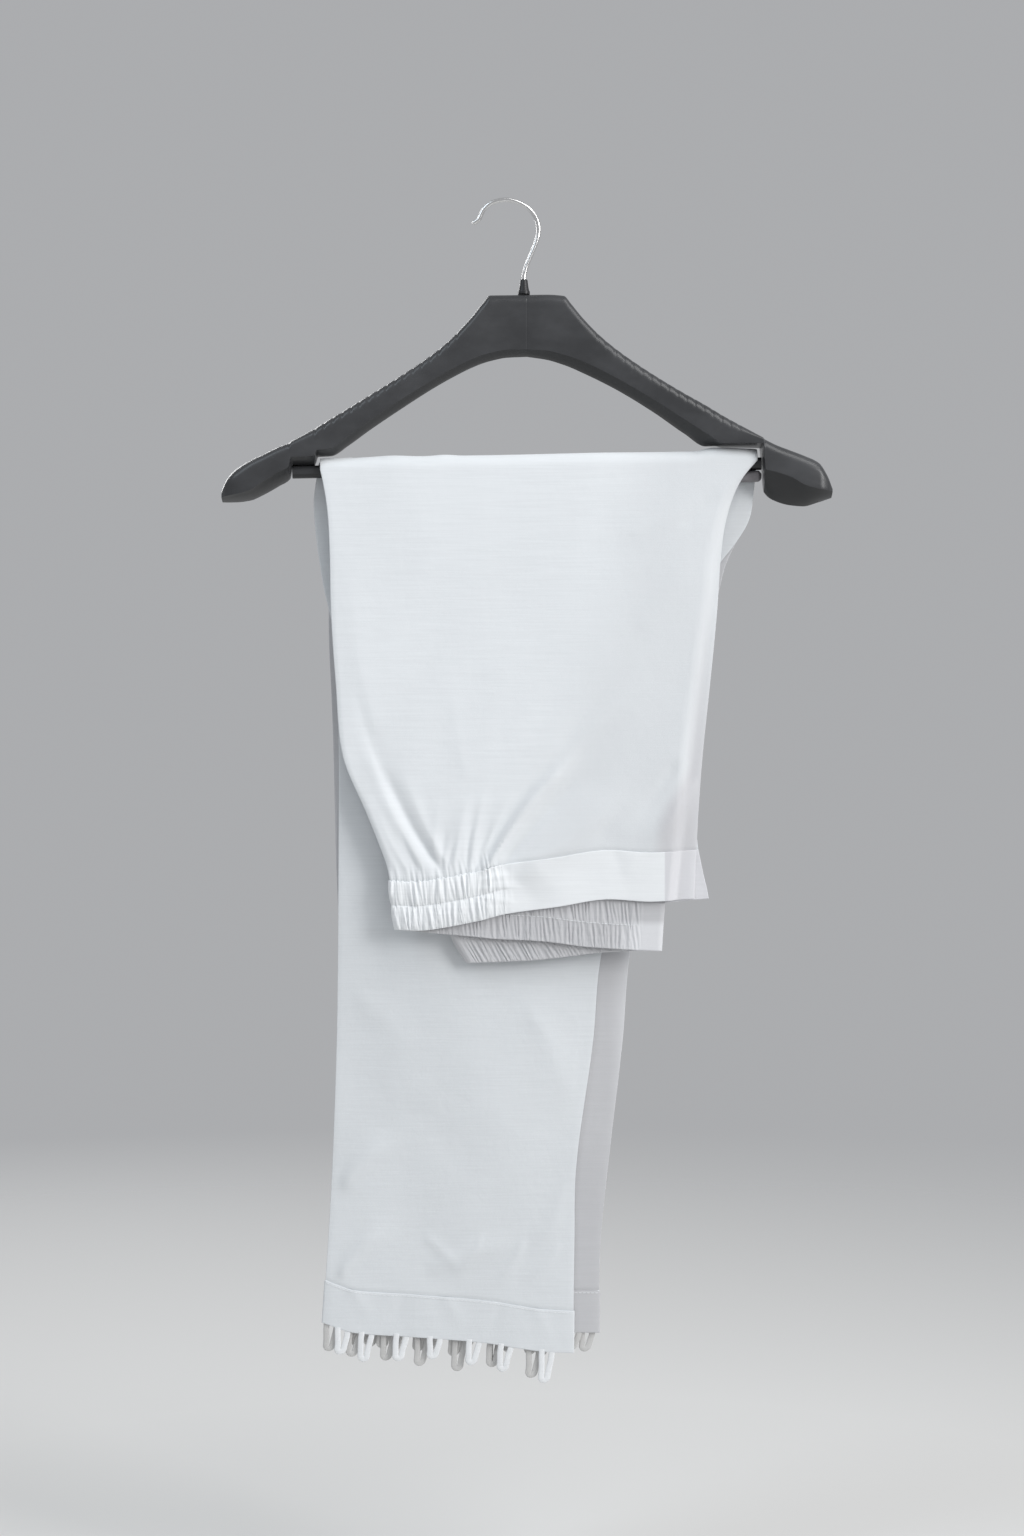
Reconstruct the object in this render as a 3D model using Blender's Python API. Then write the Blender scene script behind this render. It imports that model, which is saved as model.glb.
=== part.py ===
"""White straight-leg trousers, folded in half and hung over the rail of a suit hanger.

The origin is the inner top of the hanger's hook. +X is to the viewer's right, +Y points away
from the viewer and +Z up. Sizes are in millimetres until a mesh is made.

The folded trousers pass over the rail in four layers of cloth. The outer leg lies outside and
the inner leg lies against the rail. Both legs hang behind, the waist hangs in front.
"""
import math
from collections import namedtuple

import bmesh
import bpy

MM = 0.001

# Cloth
CLOTH_THICKNESS = 1.0
SEAM_GAP = 0.3
LAYER_PITCH = CLOTH_THICKNESS + SEAM_GAP
FRONT_SPLAY = 1.9
FRONT_LENGTH = 330.0
EDGE_CLOSING = 4.0
RISE_CLEARANCE = 1.5
RISE_CLOSING = 30.0
FOLD_MARGIN = 8.0
FLAT_COLUMNS = 10
RISE_COLUMNS = 3
LEG_PUFF = 2.4
LEG_PUFF_START = 70.0
LEG_PUFF_LENGTH = 160.0

# Waistband and hem
WAISTBAND_HEIGHT = 34.5
HEM_BAND_HEIGHT = 30.0
HEM_COLUMNS = 14
ELASTIC_SHARE = 0.37
FRONT_GATHERS = 19
BACK_GATHERS = 30
GATHER_HEIGHT = 1.4
BACK_GATHER_HEIGHT = 0.7
GATHER_FADE = 26.0
CASING_ROWS = 2
GATHER_SHADING = 18.0

# Loops under the hem
LOOP_WIDTH = 11.4
LOOP_TAPE = 4.2
LOOP_THICKNESS = 1.0
LOOP_TIP_RADIUS = 2.3
LOOP_LEAN = 2.6
LOOP_OUTER_SHIFT = 0.06
LOOP_OUTER_LAST = 0.62
# Place along the hem and length of each loop, on the panel nearest the viewer and on the next
LoopPlace = namedtuple("LoopPlace", "front front_length back back_length")
LOOPS = (
    LoopPlace(0.082, 17.2, 0.036, 18.1),
    LoopPlace(0.178, 19.5, 0.131, 17.2),
    LoopPlace(0.317, 17.5, 0.266, 18.3),
    LoopPlace(0.450, 14.6, 0.400, 20.6),
    LoopPlace(0.607, 16.5, 0.552, 22.5),
    LoopPlace(0.734, 18.1, 0.690, 16.7),
    LoopPlace(0.896, 22.0, 0.845, 19.9),
)
# Angles round half of a loop's tip, in degrees, and heights of the points above it
LOOP_TIP_ANGLES = (0.0, 34.0, 64.0, 90.0)
LOOP_LEG_SHARES = (0.0, 0.5)

# Rail and grip
RAIL_HEIGHT = 9.0
RAIL_THICKNESS = 8.0
RAIL_RADIUS = RAIL_THICKNESS / 2.0
RAIL_TOP_AT_CENTRE = -183.0
RAIL_SLOPE = 0.0183
RAIL_REACH = 165.4
GRIP_DIAMETER = 8.0
GRIP_LEFT = -118.0
# Rounding of the grip's ends: distance in from the end, and share of the radius there
EndRow = namedtuple("EndRow", "inset share")
GRIP_END = (EndRow(0.0, 0.45), EndRow(0.6, 0.8), EndRow(2.2, 1.0))

# Hanger, hook and ferrule
HANGER_CENTRE = 14.8
PLASTIC_SHADING = 30.0
HOOK_WIRE = 3.2
FERRULE_CENTRE = 12.6
FERRULE_TOP_RADIUS = 2.7
FERRULE_FOOT_RADIUS = 4.3
FERRULE_TOP = -54.7
FERRULE_FOOT = -65.1

# Edges of the front drop at each height: side fold of the outer and of the inner leg, front
# rise of the outer and of the inner leg, back rise
FrontRow = namedtuple("FrontRow", "z side_outer side_inner rise_outer rise_inner back_rise")
FRONT_DROP = (
    FrontRow(-181, -133.0, -132.0, 178.6, 178.2, 170.0),
    FrontRow(-196, -129.2, -128.0, 166.0, 165.6, 158.0),
    FrontRow(-217, -125.7, -123.5, 157.0, 156.6, 148.5),
    FrontRow(-243, -124.0, -120.5, 152.0, 151.6, 142.5),
    FrontRow(-291, -122.8, -116.0, 148.5, 148.1, 136.0),
    FrontRow(-340, -119.5, -109.0, 143.7, 143.3, 129.0),
    FrontRow(-391, -114.4, -96.0, 138.4, 138.0, 122.5),
    FrontRow(-431, -97.8, -78.0, 135.4, 135.1, 118.0),
    FrontRow(-450, -90.1, -69.3, 134.4, 134.6, 116.0),
    FrontRow(-470, -83.0, -60.0, 133.3, 138.2, 114.0),
    FrontRow(-492, -80.0, -49.0, 132.6, 142.8, 112.0),
    FrontRow(-515, -77.0, -39.5, 132.4, 143.2, 110.3),
    FrontRow(-537, -75.0, -26.5, 132.4, 143.2, 109.0),
)

# Edges of the rear drop at each height: side fold and inseam of each leg
RearRow = namedtuple("RearRow", "z side_outer inseam_outer side_inner inseam_inner")
REAR_DROP = (
    RearRow(-181, -131.5, 177.5, -132.0, 177.5),
    RearRow(-208, -131.5, 174.6, -136.0, 174.9),
    RearRow(-224, -130.7, 171.8, -135.6, 172.0),
    RearRow(-240, -129.5, 162.9, -134.0, 162.6),
    RearRow(-257, -127.6, 155.2, -131.6, 149.5),
    RearRow(-273, -126.0, 151.2, -128.8, 142.5),
    RearRow(-309, -125.5, 142.6, -121.0, 134.5),
    RearRow(-371, -122.8, 128.0, -118.6, 118.0),
    RearRow(-457, -120.7, 104.0, -118.6, 90.5),
    RearRow(-529, -118.0, 88.2, -119.0, 68.0),
    RearRow(-594, -117.2, 82.6, -120.0, 61.5),
    RearRow(-680, -118.7, 72.5, -123.0, 49.8),
    RearRow(-735, -119.7, 67.0, -126.0, 48.4),
    RearRow(-812, -121.6, 65.7, -131.0, 47.4),
)

# Lower edge of the waistband on each layer, at a share of the way from side fold to rise
WaistRow = namedtuple("WaistRow", "share outer_front outer_back inner_back inner_front")
WAIST_EDGE = (
    WaistRow(0.00, -512.5, -512.5, -536.3, -536.3),
    WaistRow(0.10, -513.0, -514.5, -536.0, -529.0),
    WaistRow(0.28, -506.5, -517.5, -535.0, -521.0),
    WaistRow(0.37, -501.8, -519.3, -534.3, -516.5),
    WaistRow(0.55, -496.5, -521.0, -531.5, -507.0),
    WaistRow(0.70, -491.5, -524.5, -529.0, -499.0),
    WaistRow(0.85, -493.0, -526.5, -528.0, -494.0),
    WaistRow(1.00, -491.4, -527.8, -527.8, -491.2),
)

# Lower edge of the hem band on each leg, at a share of the way from side fold to inseam
HemRow = namedtuple("HemRow", "share outer inner")
HEM_EDGE = (
    HemRow(0.00, -790.4, -791.8),
    HemRow(0.12, -792.5, -798.6),
    HemRow(0.36, -795.0, -801.7),
    HemRow(0.64, -797.5, -806.0),
    HemRow(0.87, -799.2, -812.0),
    HemRow(1.00, -799.6, -813.4),
)

# Soft folds: start and end across and up, height above the cloth, width, layer and drop
Fold = namedtuple("Fold", "x0 z0 x1 z1 height width layer drop")
FOLDS = (
    Fold(-70.0, -470, -101.0, -352, 1.6, 7.0, "outer_front", "front"),
    Fold(-57.0, -468, -84.0, -395, 2.2, 5.5, "outer_front", "front"),
    Fold(-45.0, -465, -57.0, -405, 1.8, 5.0, "outer_front", "front"),
    Fold(-35.0, -464, -37.0, -408, 1.6, 4.5, "outer_front", "front"),
    Fold(-24.0, -465, -20.0, -400, 1.5, 4.5, "outer_front", "front"),
    Fold(-15.0, -464, 4.0, -378, 1.8, 5.5, "outer_front", "front"),
    Fold(-8.0, -464, 83.0, -345, 2.4, 7.5, "outer_front", "front"),
    Fold(-2.0, -463, 44.0, -424, 1.4, 5.0, "outer_front", "front"),
    Fold(100.0, -440, 136.0, -415, 1.0, 8.0, "outer_front", "front"),
    Fold(-116.0, -694, -78.0, -660, 2.0, 7.0, "inner_front", "rear"),
    Fold(-118.0, -758, -84.0, -722, 1.8, 6.0, "inner_front", "rear"),
    Fold(-50.0, -752, 10.0, -735, 1.2, 7.0, "inner_front", "rear"),
    Fold(-110.0, -700, -66.0, -664, 1.8, 7.0, "outer_front", "rear"),
    Fold(-40.0, -735, 22.0, -752, 1.4, 7.0, "outer_front", "rear"),
)

# Along the hanger: distance from its centre, top, front ridge, lowest edge, half depth. Its arms
# aren't alike, because it hangs turned a little, and each is built as it is seen.
ArmRow = namedtuple("ArmRow", "distance top ridge low half_depth")
HANGER_MIDDLE = ArmRow(0.0, -65.8, -104.9, -109.1, 8.0)
LEFT_ARM = (
    ArmRow(14.0, -66.0, -105.3, -109.7, 8.2),
    ArmRow(26.0, -66.2, -107.6, -112.1, 8.5),
    ArmRow(31.0, -71.3, -109.0, -113.6, 8.6),
    ArmRow(39.0, -81.3, -112.2, -116.8, 8.8),
    ArmRow(51.0, -94.2, -118.0, -122.8, 9.0),
    ArmRow(66.0, -107.2, -126.6, -131.3, 9.4),
    ArmRow(90.0, -123.6, -141.6, -146.7, 10.2),
    ArmRow(111.0, -136.7, -155.8, -160.9, 11.2),
    ArmRow(126.0, -146.0, -166.6, -171.8, 12.0),
    ArmRow(138.0, -153.2, -174.9, -179.2, 12.8),
    ArmRow(147.9, -159.6, -176.6, -179.9, 13.5),
    ArmRow(149.6, -160.6, -180.4, -185.4, 13.6),
    ArmRow(165.8, -169.7, -181.6, -185.7, 14.6),
    ArmRow(166.8, -170.3, -187.6, -194.9, 14.7),
    ArmRow(175.0, -173.6, -192.4, -200.4, 15.2),
    ArmRow(186.0, -179.0, -199.4, -206.6, 15.8),
    ArmRow(195.0, -183.4, -205.2, -210.5, 16.0),
    ArmRow(205.0, -189.8, -207.6, -211.8, 15.2),
    ArmRow(211.0, -196.4, -208.6, -211.9, 12.6),
    ArmRow(214.8, -204.2, -209.2, -211.8, 8.0),
)
RIGHT_ARM = (
    ArmRow(14.0, -65.6, -105.9, -111.2, 8.2),
    ArmRow(26.0, -66.5, -108.8, -114.8, 8.5),
    ArmRow(31.0, -72.0, -110.4, -116.7, 8.6),
    ArmRow(39.0, -81.8, -113.4, -120.3, 8.8),
    ArmRow(51.0, -94.2, -119.0, -126.0, 9.0),
    ArmRow(66.0, -106.5, -127.0, -133.9, 9.4),
    ArmRow(90.0, -122.8, -141.2, -148.7, 10.2),
    ArmRow(111.0, -135.5, -154.8, -163.3, 11.2),
    ArmRow(126.0, -144.0, -164.6, -172.3, 12.0),
    ArmRow(138.0, -151.3, -171.4, -172.2, 12.8),
    ArmRow(165.8, -167.2, -171.8, -172.2, 14.6),
    ArmRow(166.8, -167.8, -189.8, -204.0, 14.7),
    ArmRow(175.0, -172.0, -192.2, -210.8, 15.2),
    ArmRow(186.0, -176.3, -196.2, -213.9, 15.8),
    ArmRow(195.0, -179.8, -201.2, -214.6, 16.0),
    ArmRow(205.0, -184.6, -203.8, -212.0, 15.2),
    ArmRow(211.0, -193.4, -204.6, -210.0, 12.6),
    ArmRow(214.8, -202.4, -205.2, -208.7, 8.0),
)

# Centre line of the hook's wire, from its tip over the top and down to the ferrule
HookPoint = namedtuple("HookPoint", "x z")
HOOK = (
    HookPoint(-23.8, -15.2),
    HookPoint(-19.2, -11.9),
    HookPoint(-15.9, -5.4),
    HookPoint(-10.2, -0.4),
    HookPoint(-3.0, 1.6),
    HookPoint(3.0, 1.6),
    HookPoint(9.0, -0.2),
    HookPoint(15.2, -3.7),
    HookPoint(20.0, -9.0),
    HookPoint(22.7, -15.5),
    HookPoint(22.9, -22.0),
    HookPoint(21.2, -28.5),
    HookPoint(18.2, -36.0),
    HookPoint(14.8, -44.0),
    HookPoint(13.0, -50.5),
    HookPoint(12.6, -54.4),
)
HOOK_STEPS = 3

# Rows down each drop, as shares of its length, and steps round the rail
FRONT_SHARES = (1.0, 0.975, 0.94, 0.89, 0.82, 0.73, 0.62, 0.50, 0.36, 0.22, 0.11, 0.04)
REAR_SHARES = (0.04, 0.10, 0.155, 0.23, 0.34, 0.47, 0.60, 0.72, 0.82, 0.92, 1.0)
ARC_STEPS = 5

LAYERS = ("inner_front", "inner_back", "outer_back", "outer_front")

# Which way a layer turns at its left and right edge, to meet the layer it is sewn to
CLOSES = {"outer_front": (-1, 0), "outer_back": (1, -1), "inner_back": (-1, 1), "inner_front": (1, 0)}

# Table columns that hold each layer's edges: left and right in front, left and right behind
EDGE_OF = {
    "outer_front": ("side_outer", "rise_outer", "side_outer", "inseam_outer"),
    "outer_back": ("side_outer", "back_rise", "side_outer", "inseam_outer"),
    "inner_back": ("side_inner", "back_rise", "side_inner", "inseam_inner"),
    "inner_front": ("side_inner", "rise_inner", "side_inner", "inseam_inner"),
}


def smooth(value):
    """Ease from 0 to 1 as value goes from 0 to 1."""
    value = min(1.0, max(0.0, value))
    return value * value * (3.0 - 2.0 * value)


def mix(a, b, share):
    return a + (b - a) * share


def through(rows, key, column, at):
    """Read a column of a table at a key, on a smooth curve through its rows."""
    keys = [getattr(row, key) for row in rows]
    values = [getattr(row, column) for row in rows]
    if keys[0] > keys[-1]:
        keys.reverse()
        values.reverse()
    if at <= keys[0]:
        return values[0]
    if at >= keys[-1]:
        return values[-1]
    i = 0
    while keys[i + 1] < at:
        i += 1
    step = keys[i + 1] - keys[i]
    slope = (values[i + 1] - values[i]) / step
    before = slope
    after = slope
    if i > 0:
        before = (values[i + 1] - values[i - 1]) / (keys[i + 1] - keys[i - 1])
    if i + 2 < len(keys):
        after = (values[i + 2] - values[i]) / (keys[i + 2] - keys[i])
    t = (at - keys[i]) / step
    return (
        values[i] * (2 * t**3 - 3 * t**2 + 1)
        + before * step * (t**3 - 2 * t**2 + t)
        + values[i + 1] * (3 * t**2 - 2 * t**3)
        + after * step * (t**3 - t**2)
    )


def rail_top(x):
    return RAIL_TOP_AT_CENTRE + RAIL_SLOPE * (x - HANGER_CENTRE)


def arc_centre(x):
    """Height of the axis that the cloth turns round, where it passes over the rail."""
    return rail_top(x) - RAIL_RADIUS


def front_edges(layer, z):
    side, rise = EDGE_OF[layer][:2]
    return through(FRONT_DROP, "z", side, z), through(FRONT_DROP, "z", rise, z)


def rear_edges(layer, z):
    side, inseam = EDGE_OF[layer][2:]
    return through(REAR_DROP, "z", side, z), through(REAR_DROP, "z", inseam, z)


def fold_height(layer, drop, x, z):
    """Height of the soft folds at a point of a layer, fading from each fold's start."""
    total = 0.0
    for fold in FOLDS:
        if fold.layer != layer or fold.drop != drop:
            continue
        along_x = fold.x1 - fold.x0
        along_z = fold.z1 - fold.z0
        length = math.hypot(along_x, along_z)
        share = ((x - fold.x0) * along_x + (z - fold.z0) * along_z) / length**2
        off = abs((x - fold.x0) * along_z - (z - fold.z0) * along_x) / length
        width = fold.width * mix(0.8, 1.6, min(1.0, max(0.0, share)))
        ends = smooth((share + 0.15) / 0.25) * smooth((1.15 - share) / 0.6)
        total += fold.height * ends * math.exp(-((off / width) ** 2))
    return total


def gather_wave(share, last_share, gathers):
    """One hump for each gather, from 0 to 1, along the gathered share of an edge."""
    if share >= last_share:
        return 0.0
    return 0.5 - 0.5 * math.cos(2.0 * math.pi * gathers * share / last_share)


def front_depth(layer, x, z):
    """Middle of a layer's wall, out from the rail's front face, in the front drop.

    The layers hang in a thin wedge, and close on each other at the edges where they are sewn.
    """
    below = max(0.0, arc_centre(x) - z)
    pitch = LAYER_PITCH + FRONT_SPLAY * below / FRONT_LENGTH
    place = LAYERS.index(layer)
    depth = SEAM_GAP + CLOTH_THICKNESS / 2.0 + pitch * place
    left, right = front_edges(layer, z)
    closing = (pitch - LAYER_PITCH) / 2.0
    at_left, at_right = CLOSES[layer]
    depth += at_left * closing * smooth(1.0 - (x - left) / EDGE_CLOSING)
    depth += at_right * closing * smooth(1.0 - (right - x) / EDGE_CLOSING)
    if layer == "outer_front":
        back_rise = through(FRONT_DROP, "z", "back_rise", z) + RISE_CLEARANCE
        past_back = (x - back_rise) / (right - back_rise)
        lying_on = SEAM_GAP + CLOTH_THICKNESS / 2.0 + LAYER_PITCH
        depth = mix(depth, lying_on, smooth(past_back) * smooth(below / RISE_CLOSING))
        depth += smooth((right - x) / FOLD_MARGIN) * fold_height(layer, "front", x, z)
    return depth


def rear_depth(layer, x, z):
    """Middle of a layer's wall, back from the rail's rear face, in the rear drop."""
    depth = SEAM_GAP + CLOTH_THICKNESS / 2.0 + LAYER_PITCH * LAYERS.index(layer)
    left, right = rear_edges(layer, z)
    across = math.sin(math.pi * min(1.0, max(0.0, (x - left) / (right - left))))
    below = arc_centre(x) - z
    puff = LEG_PUFF * across * smooth((below - LEG_PUFF_START) / LEG_PUFF_LENGTH)
    creases = smooth(across / 0.25) * fold_height(layer, "rear", x, z)
    if layer == "inner_front":
        depth -= puff + creases
    if layer == "outer_front":
        depth += puff + creases
    return depth


def waist_edge(layer, share):
    return through(WAIST_EDGE, "share", layer, share)


def hem_edge(layer, share):
    return through(HEM_EDGE, "share", layer.split("_")[0], share)


def hem_edge_at(leg, x):
    """Height of a hem band's lower edge at x, along the straight facets of the band."""
    left, right = rear_edges(leg + "_front", hem_edge(leg, 0.5))
    place = min(1.0, max(0.0, (x - left) / (right - left))) * HEM_COLUMNS
    column = min(HEM_COLUMNS - 1, int(place))
    here = hem_edge(leg, column / HEM_COLUMNS)
    return mix(here, hem_edge(leg, (column + 1) / HEM_COLUMNS), place - column)


def front_place(layer, share, z):
    left, right = front_edges(layer, z)
    x = mix(left, right, front_share(layer, share, z))
    return x, -(RAIL_RADIUS + front_depth(layer, x, z)), z


def turning_height(layer, share):
    """Height at which a column of a panel leaves the front drop and turns over the rail."""
    z = arc_centre(HANGER_CENTRE)
    left, right = front_edges(layer, z)
    return arc_centre(mix(left, right, front_share(layer, share, z)))


def rear_place(layer, share, z):
    left, right = rear_edges(layer, z)
    x = mix(left, right, share)
    return x, RAIL_RADIUS + rear_depth(layer, x, z), z


def material(name, colour, roughness, metallic=0.0):
    made = bpy.data.materials.new(name)
    made.use_nodes = True
    shader = made.node_tree.nodes["Principled BSDF"]
    shader.inputs["Base Color"].default_value = (*colour, 1.0)
    shader.inputs["Roughness"].default_value = roughness
    shader.inputs["Metallic"].default_value = metallic
    return made


def object_from_mesh(name, mesh_work, made_material, smooth_angle=50.0):
    """Close up a bmesh drawn in millimetres as an object in metres."""
    bmesh.ops.recalc_face_normals(mesh_work, faces=mesh_work.faces)
    bmesh.ops.scale(mesh_work, vec=(MM, MM, MM), verts=mesh_work.verts)
    mesh = bpy.data.meshes.new(name)
    mesh_work.to_mesh(mesh)
    mesh_work.free()
    mesh.materials.append(made_material)
    mesh.shade_smooth()
    mesh.set_sharp_from_angle(angle=math.radians(smooth_angle))
    made = bpy.data.objects.new(name, mesh)
    bpy.context.scene.collection.objects.link(made)
    return made


def wall(name, outer, inner, made_material, ring=False, smooth_angle=50.0):
    """Close two like grids of points into one wall; a ring joins its last column to its first."""
    work = bmesh.new()
    rows = len(outer)
    columns = len(outer[0])
    faces = [[[work.verts.new(p) for p in row] for row in grid] for grid in (outer, inner)]
    last = columns if ring else columns - 1
    for grid in faces:
        for r in range(rows - 1):
            for c in range(last):
                d = (c + 1) % columns
                work.faces.new((grid[r][c], grid[r][d], grid[r + 1][d], grid[r + 1][c]))
    out, back = faces
    for r in (0, rows - 1):
        for c in range(last):
            d = (c + 1) % columns
            work.faces.new((out[r][c], out[r][d], back[r][d], back[r][c]))
    if not ring:
        for c in (0, columns - 1):
            for r in range(rows - 1):
                work.faces.new((out[r][c], out[r + 1][c], back[r + 1][c], back[r][c]))
    return object_from_mesh(name, work, made_material, smooth_angle)


def loft(name, sections, made_material, smooth_angle=50.0):
    """Close a row of like sections into one solid with flat ends."""
    work = bmesh.new()
    rings = [[work.verts.new(p) for p in section] for section in sections]
    count = len(rings[0])
    for a, b in zip(rings, rings[1:]):
        for c in range(count):
            d = (c + 1) % count
            work.faces.new((a[c], a[d], b[d], b[c]))
    work.faces.new(rings[0])
    work.faces.new(rings[-1])
    return object_from_mesh(name, work, made_material, smooth_angle)


def column_shares(layer):
    """Columns across a panel: two for each gather where it is gathered, fewer elsewhere."""
    if layer == "outer_front":
        gathered = [ELASTIC_SHARE * i / (2 * FRONT_GATHERS) for i in range(2 * FRONT_GATHERS)]
        return gathered + [mix(ELASTIC_SHARE, 1.0, i / FLAT_COLUMNS) for i in range(FLAT_COLUMNS + 1)]
    return [i / HEM_COLUMNS for i in range(HEM_COLUMNS + 1)]


def front_share(layer, share, z):
    """Move the outer front's last columns, so that they lie past the back rise."""
    if layer != "outer_front" or share <= ELASTIC_SHARE:
        return share
    left, right = front_edges(layer, z)
    back_rise = through(FRONT_DROP, "z", "back_rise", z) + RISE_CLEARANCE
    turn = (back_rise - left) / (right - left)
    column = (share - ELASTIC_SHARE) / (1.0 - ELASTIC_SHARE) * FLAT_COLUMNS
    before = FLAT_COLUMNS - RISE_COLUMNS
    if column < before:
        return mix(ELASTIC_SHARE, turn, column / before)
    return mix(turn, 1.0, (column - before) / RISE_COLUMNS)


def panel(layer, made_material):
    """One leg panel, from the waistband up over the rail and down to the hem band."""
    half = CLOTH_THICKNESS / 2.0
    outer = []
    inner = []
    shares = column_shares(layer)
    for down in FRONT_SHARES:
        row_out = []
        row_in = []
        for share in shares:
            top = turning_height(layer, share)
            seam = waist_edge(layer, share) + WAISTBAND_HEIGHT + SEAM_GAP
            x, y, z = front_place(layer, share, mix(top, seam, down))
            if layer == "outer_front":
                near_band = smooth(1.0 - (z - seam) / GATHER_FADE)
                wave = gather_wave(share, ELASTIC_SHARE, FRONT_GATHERS)
                y -= 0.7 * GATHER_HEIGHT * wave * near_band
            row_out.append((x, y - half, z))
            row_in.append((x, y + half, z))
        outer.append(row_out)
        inner.append(row_in)
    for step in range(ARC_STEPS + 1):
        angle = math.pi * step / ARC_STEPS
        row_out = []
        row_in = []
        for share in shares:
            top = turning_height(layer, share)
            x_front, y_front, z_front = front_place(layer, share, top)
            x_rear, y_rear, z_rear = rear_place(layer, share, top)
            x = mix(x_front, x_rear, 0.5 - 0.5 * math.cos(angle))
            reach = mix(-y_front, y_rear, step / ARC_STEPS)
            for row, radius in ((row_out, reach + half), (row_in, reach - half)):
                row.append((x, -radius * math.cos(angle), top + radius * math.sin(angle)))
        outer.append(row_out)
        inner.append(row_in)
    for down in REAR_SHARES:
        row_out = []
        row_in = []
        for share in shares:
            top = turning_height(layer, share)
            seam = hem_edge(layer, share) + HEM_BAND_HEIGHT + SEAM_GAP
            x, y, z = rear_place(layer, share, mix(top, seam, down))
            row_out.append((x, y + half, z))
            row_in.append((x, y - half, z))
        outer.append(row_out)
        inner.append(row_in)
    return wall(layer.replace("_", "_leg_"), outer, inner, made_material)


def casing_puff(share_down):
    """Two puffed rows down the elastic band, pinched at its seam, middle stitch and edge."""
    return abs(math.sin(CASING_ROWS * math.pi * share_down))


def elastic_band(leg, made_material):
    """Gathered band, from the front panel round the side fold to the back rise."""
    half = CLOTH_THICKNESS / 2.0
    front = leg + "_front"
    back = leg + "_back"
    rows = 2 * CASING_ROWS
    front_shares = [ELASTIC_SHARE * i / (2 * FRONT_GATHERS) for i in range(2 * FRONT_GATHERS, 0, -1)]
    back_shares = [i / (2 * BACK_GATHERS) for i in range(1, 2 * BACK_GATHERS + 1)]
    outer = []
    inner = []
    for r in range(rows + 1):
        down = r / rows
        swell = 0.3 + 0.7 * casing_puff(down)
        row_out = []
        row_in = []
        for share in front_shares:
            z = waist_edge(front, share) + WAISTBAND_HEIGHT * (1.0 - down)
            x, y, z = front_place(front, share, z)
            wave = gather_wave(share, ELASTIC_SHARE, FRONT_GATHERS)
            if leg == "inner":
                y += GATHER_HEIGHT * wave * swell
                row_out.append((x, y + half, z))
                row_in.append((x, y - half, z))
            else:
                y -= GATHER_HEIGHT * wave * swell + 0.4 * casing_puff(down)
                row_out.append((x, y - half, z))
                row_in.append((x, y + half, z))
        z = waist_edge(front, 0.0) + WAISTBAND_HEIGHT * (1.0 - down)
        x, y_front, z = front_place(front, 0.0, z)
        x, y_back, z = front_place(back, 0.0, z)
        y = (y_front + y_back) / 2.0
        row_out.append((x, y, z))
        row_in.append((x + CLOTH_THICKNESS, y, z))
        sign = -1.0 if leg == "inner" else 1.0
        for share in back_shares:
            z = waist_edge(back, share) + WAISTBAND_HEIGHT * (1.0 - down)
            x, y, z = front_place(back, share, z)
            wave = gather_wave(share, 1.0, BACK_GATHERS) - 0.5
            left, right = front_edges(back, z)
            free = smooth((x - left) / 12.0) * smooth((right - x) / 16.0)
            y += 2.0 * BACK_GATHER_HEIGHT * wave * swell * free
            row_out.append((x, y + sign * half, z))
            row_in.append((x, y - sign * half, z))
        outer.append(row_out)
        inner.append(row_in)
    name = leg + "_waistband_elastic"
    return wall(name, outer, inner, made_material, smooth_angle=GATHER_SHADING)


def flat_band(leg, made_material):
    """Flat front of the waistband, from the elastic to the front rise."""
    half = CLOTH_THICKNESS / 2.0
    layer = leg + "_front"
    columns = FLAT_COLUMNS
    rows = 2 * CASING_ROWS
    start = ELASTIC_SHARE + SEAM_GAP / 200.0
    outer = []
    inner = []
    for r in range(rows + 1):
        row_out = []
        row_in = []
        for c in range(columns + 1):
            share = mix(start, 1.0, c / columns)
            z = waist_edge(layer, share) + WAISTBAND_HEIGHT * (1.0 - r / rows)
            x, y, z = front_place(layer, share, z)
            row_out.append((x, y - half, z))
            row_in.append((x, y + half, z))
        outer.append(row_out)
        inner.append(row_in)
    return wall(leg + "_waistband_front", outer, inner, made_material)


def hem_band(leg, made_material):
    """Flattened ring round the foot of a leg, its two walls joined at side and inseam."""
    half = CLOTH_THICKNESS / 2.0
    columns = HEM_COLUMNS
    rows = 2
    outer = []
    inner = []
    for r in range(rows + 1):
        row_out = []
        row_in = []
        for layer, shares in (("front", range(columns + 1)), ("back", range(columns, -1, -1))):
            outward = -half if (leg, layer) in (("inner", "front"), ("outer", "back")) else half
            for c in shares:
                share = c / columns
                z = hem_edge(leg, share) + HEM_BAND_HEIGHT * (1.0 - r / rows)
                x, y, z = rear_place(leg + "_" + layer, share, z)
                inset = CLOTH_THICKNESS if c == 0 else 0.0
                inset -= CLOTH_THICKNESS if c == columns else 0.0
                row_out.append((x, y + outward, z))
                row_in.append((x + inset, y - outward, z))
        outer.append(row_out)
        inner.append(row_in)
    return wall(leg + "_hem_band", outer, inner, made_material, ring=True)


def loop_line(length):
    """Centre line of a loop: its left leg down to the tip, and back up its right leg."""
    reach = (LOOP_WIDTH - LOOP_TAPE) / 2.0
    turn = length - LOOP_TAPE / 2.0 - LOOP_TIP_RADIUS
    half = [(mix(reach, LOOP_TIP_RADIUS, smooth(share)), share * turn) for share in LOOP_LEG_SHARES]
    for degrees in LOOP_TIP_ANGLES:
        angle = math.radians(degrees)
        half.append((LOOP_TIP_RADIUS * math.cos(angle), turn + LOOP_TIP_RADIUS * math.sin(angle)))
    return [(-out, down) for out, down in half] + half[-2::-1]


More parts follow.
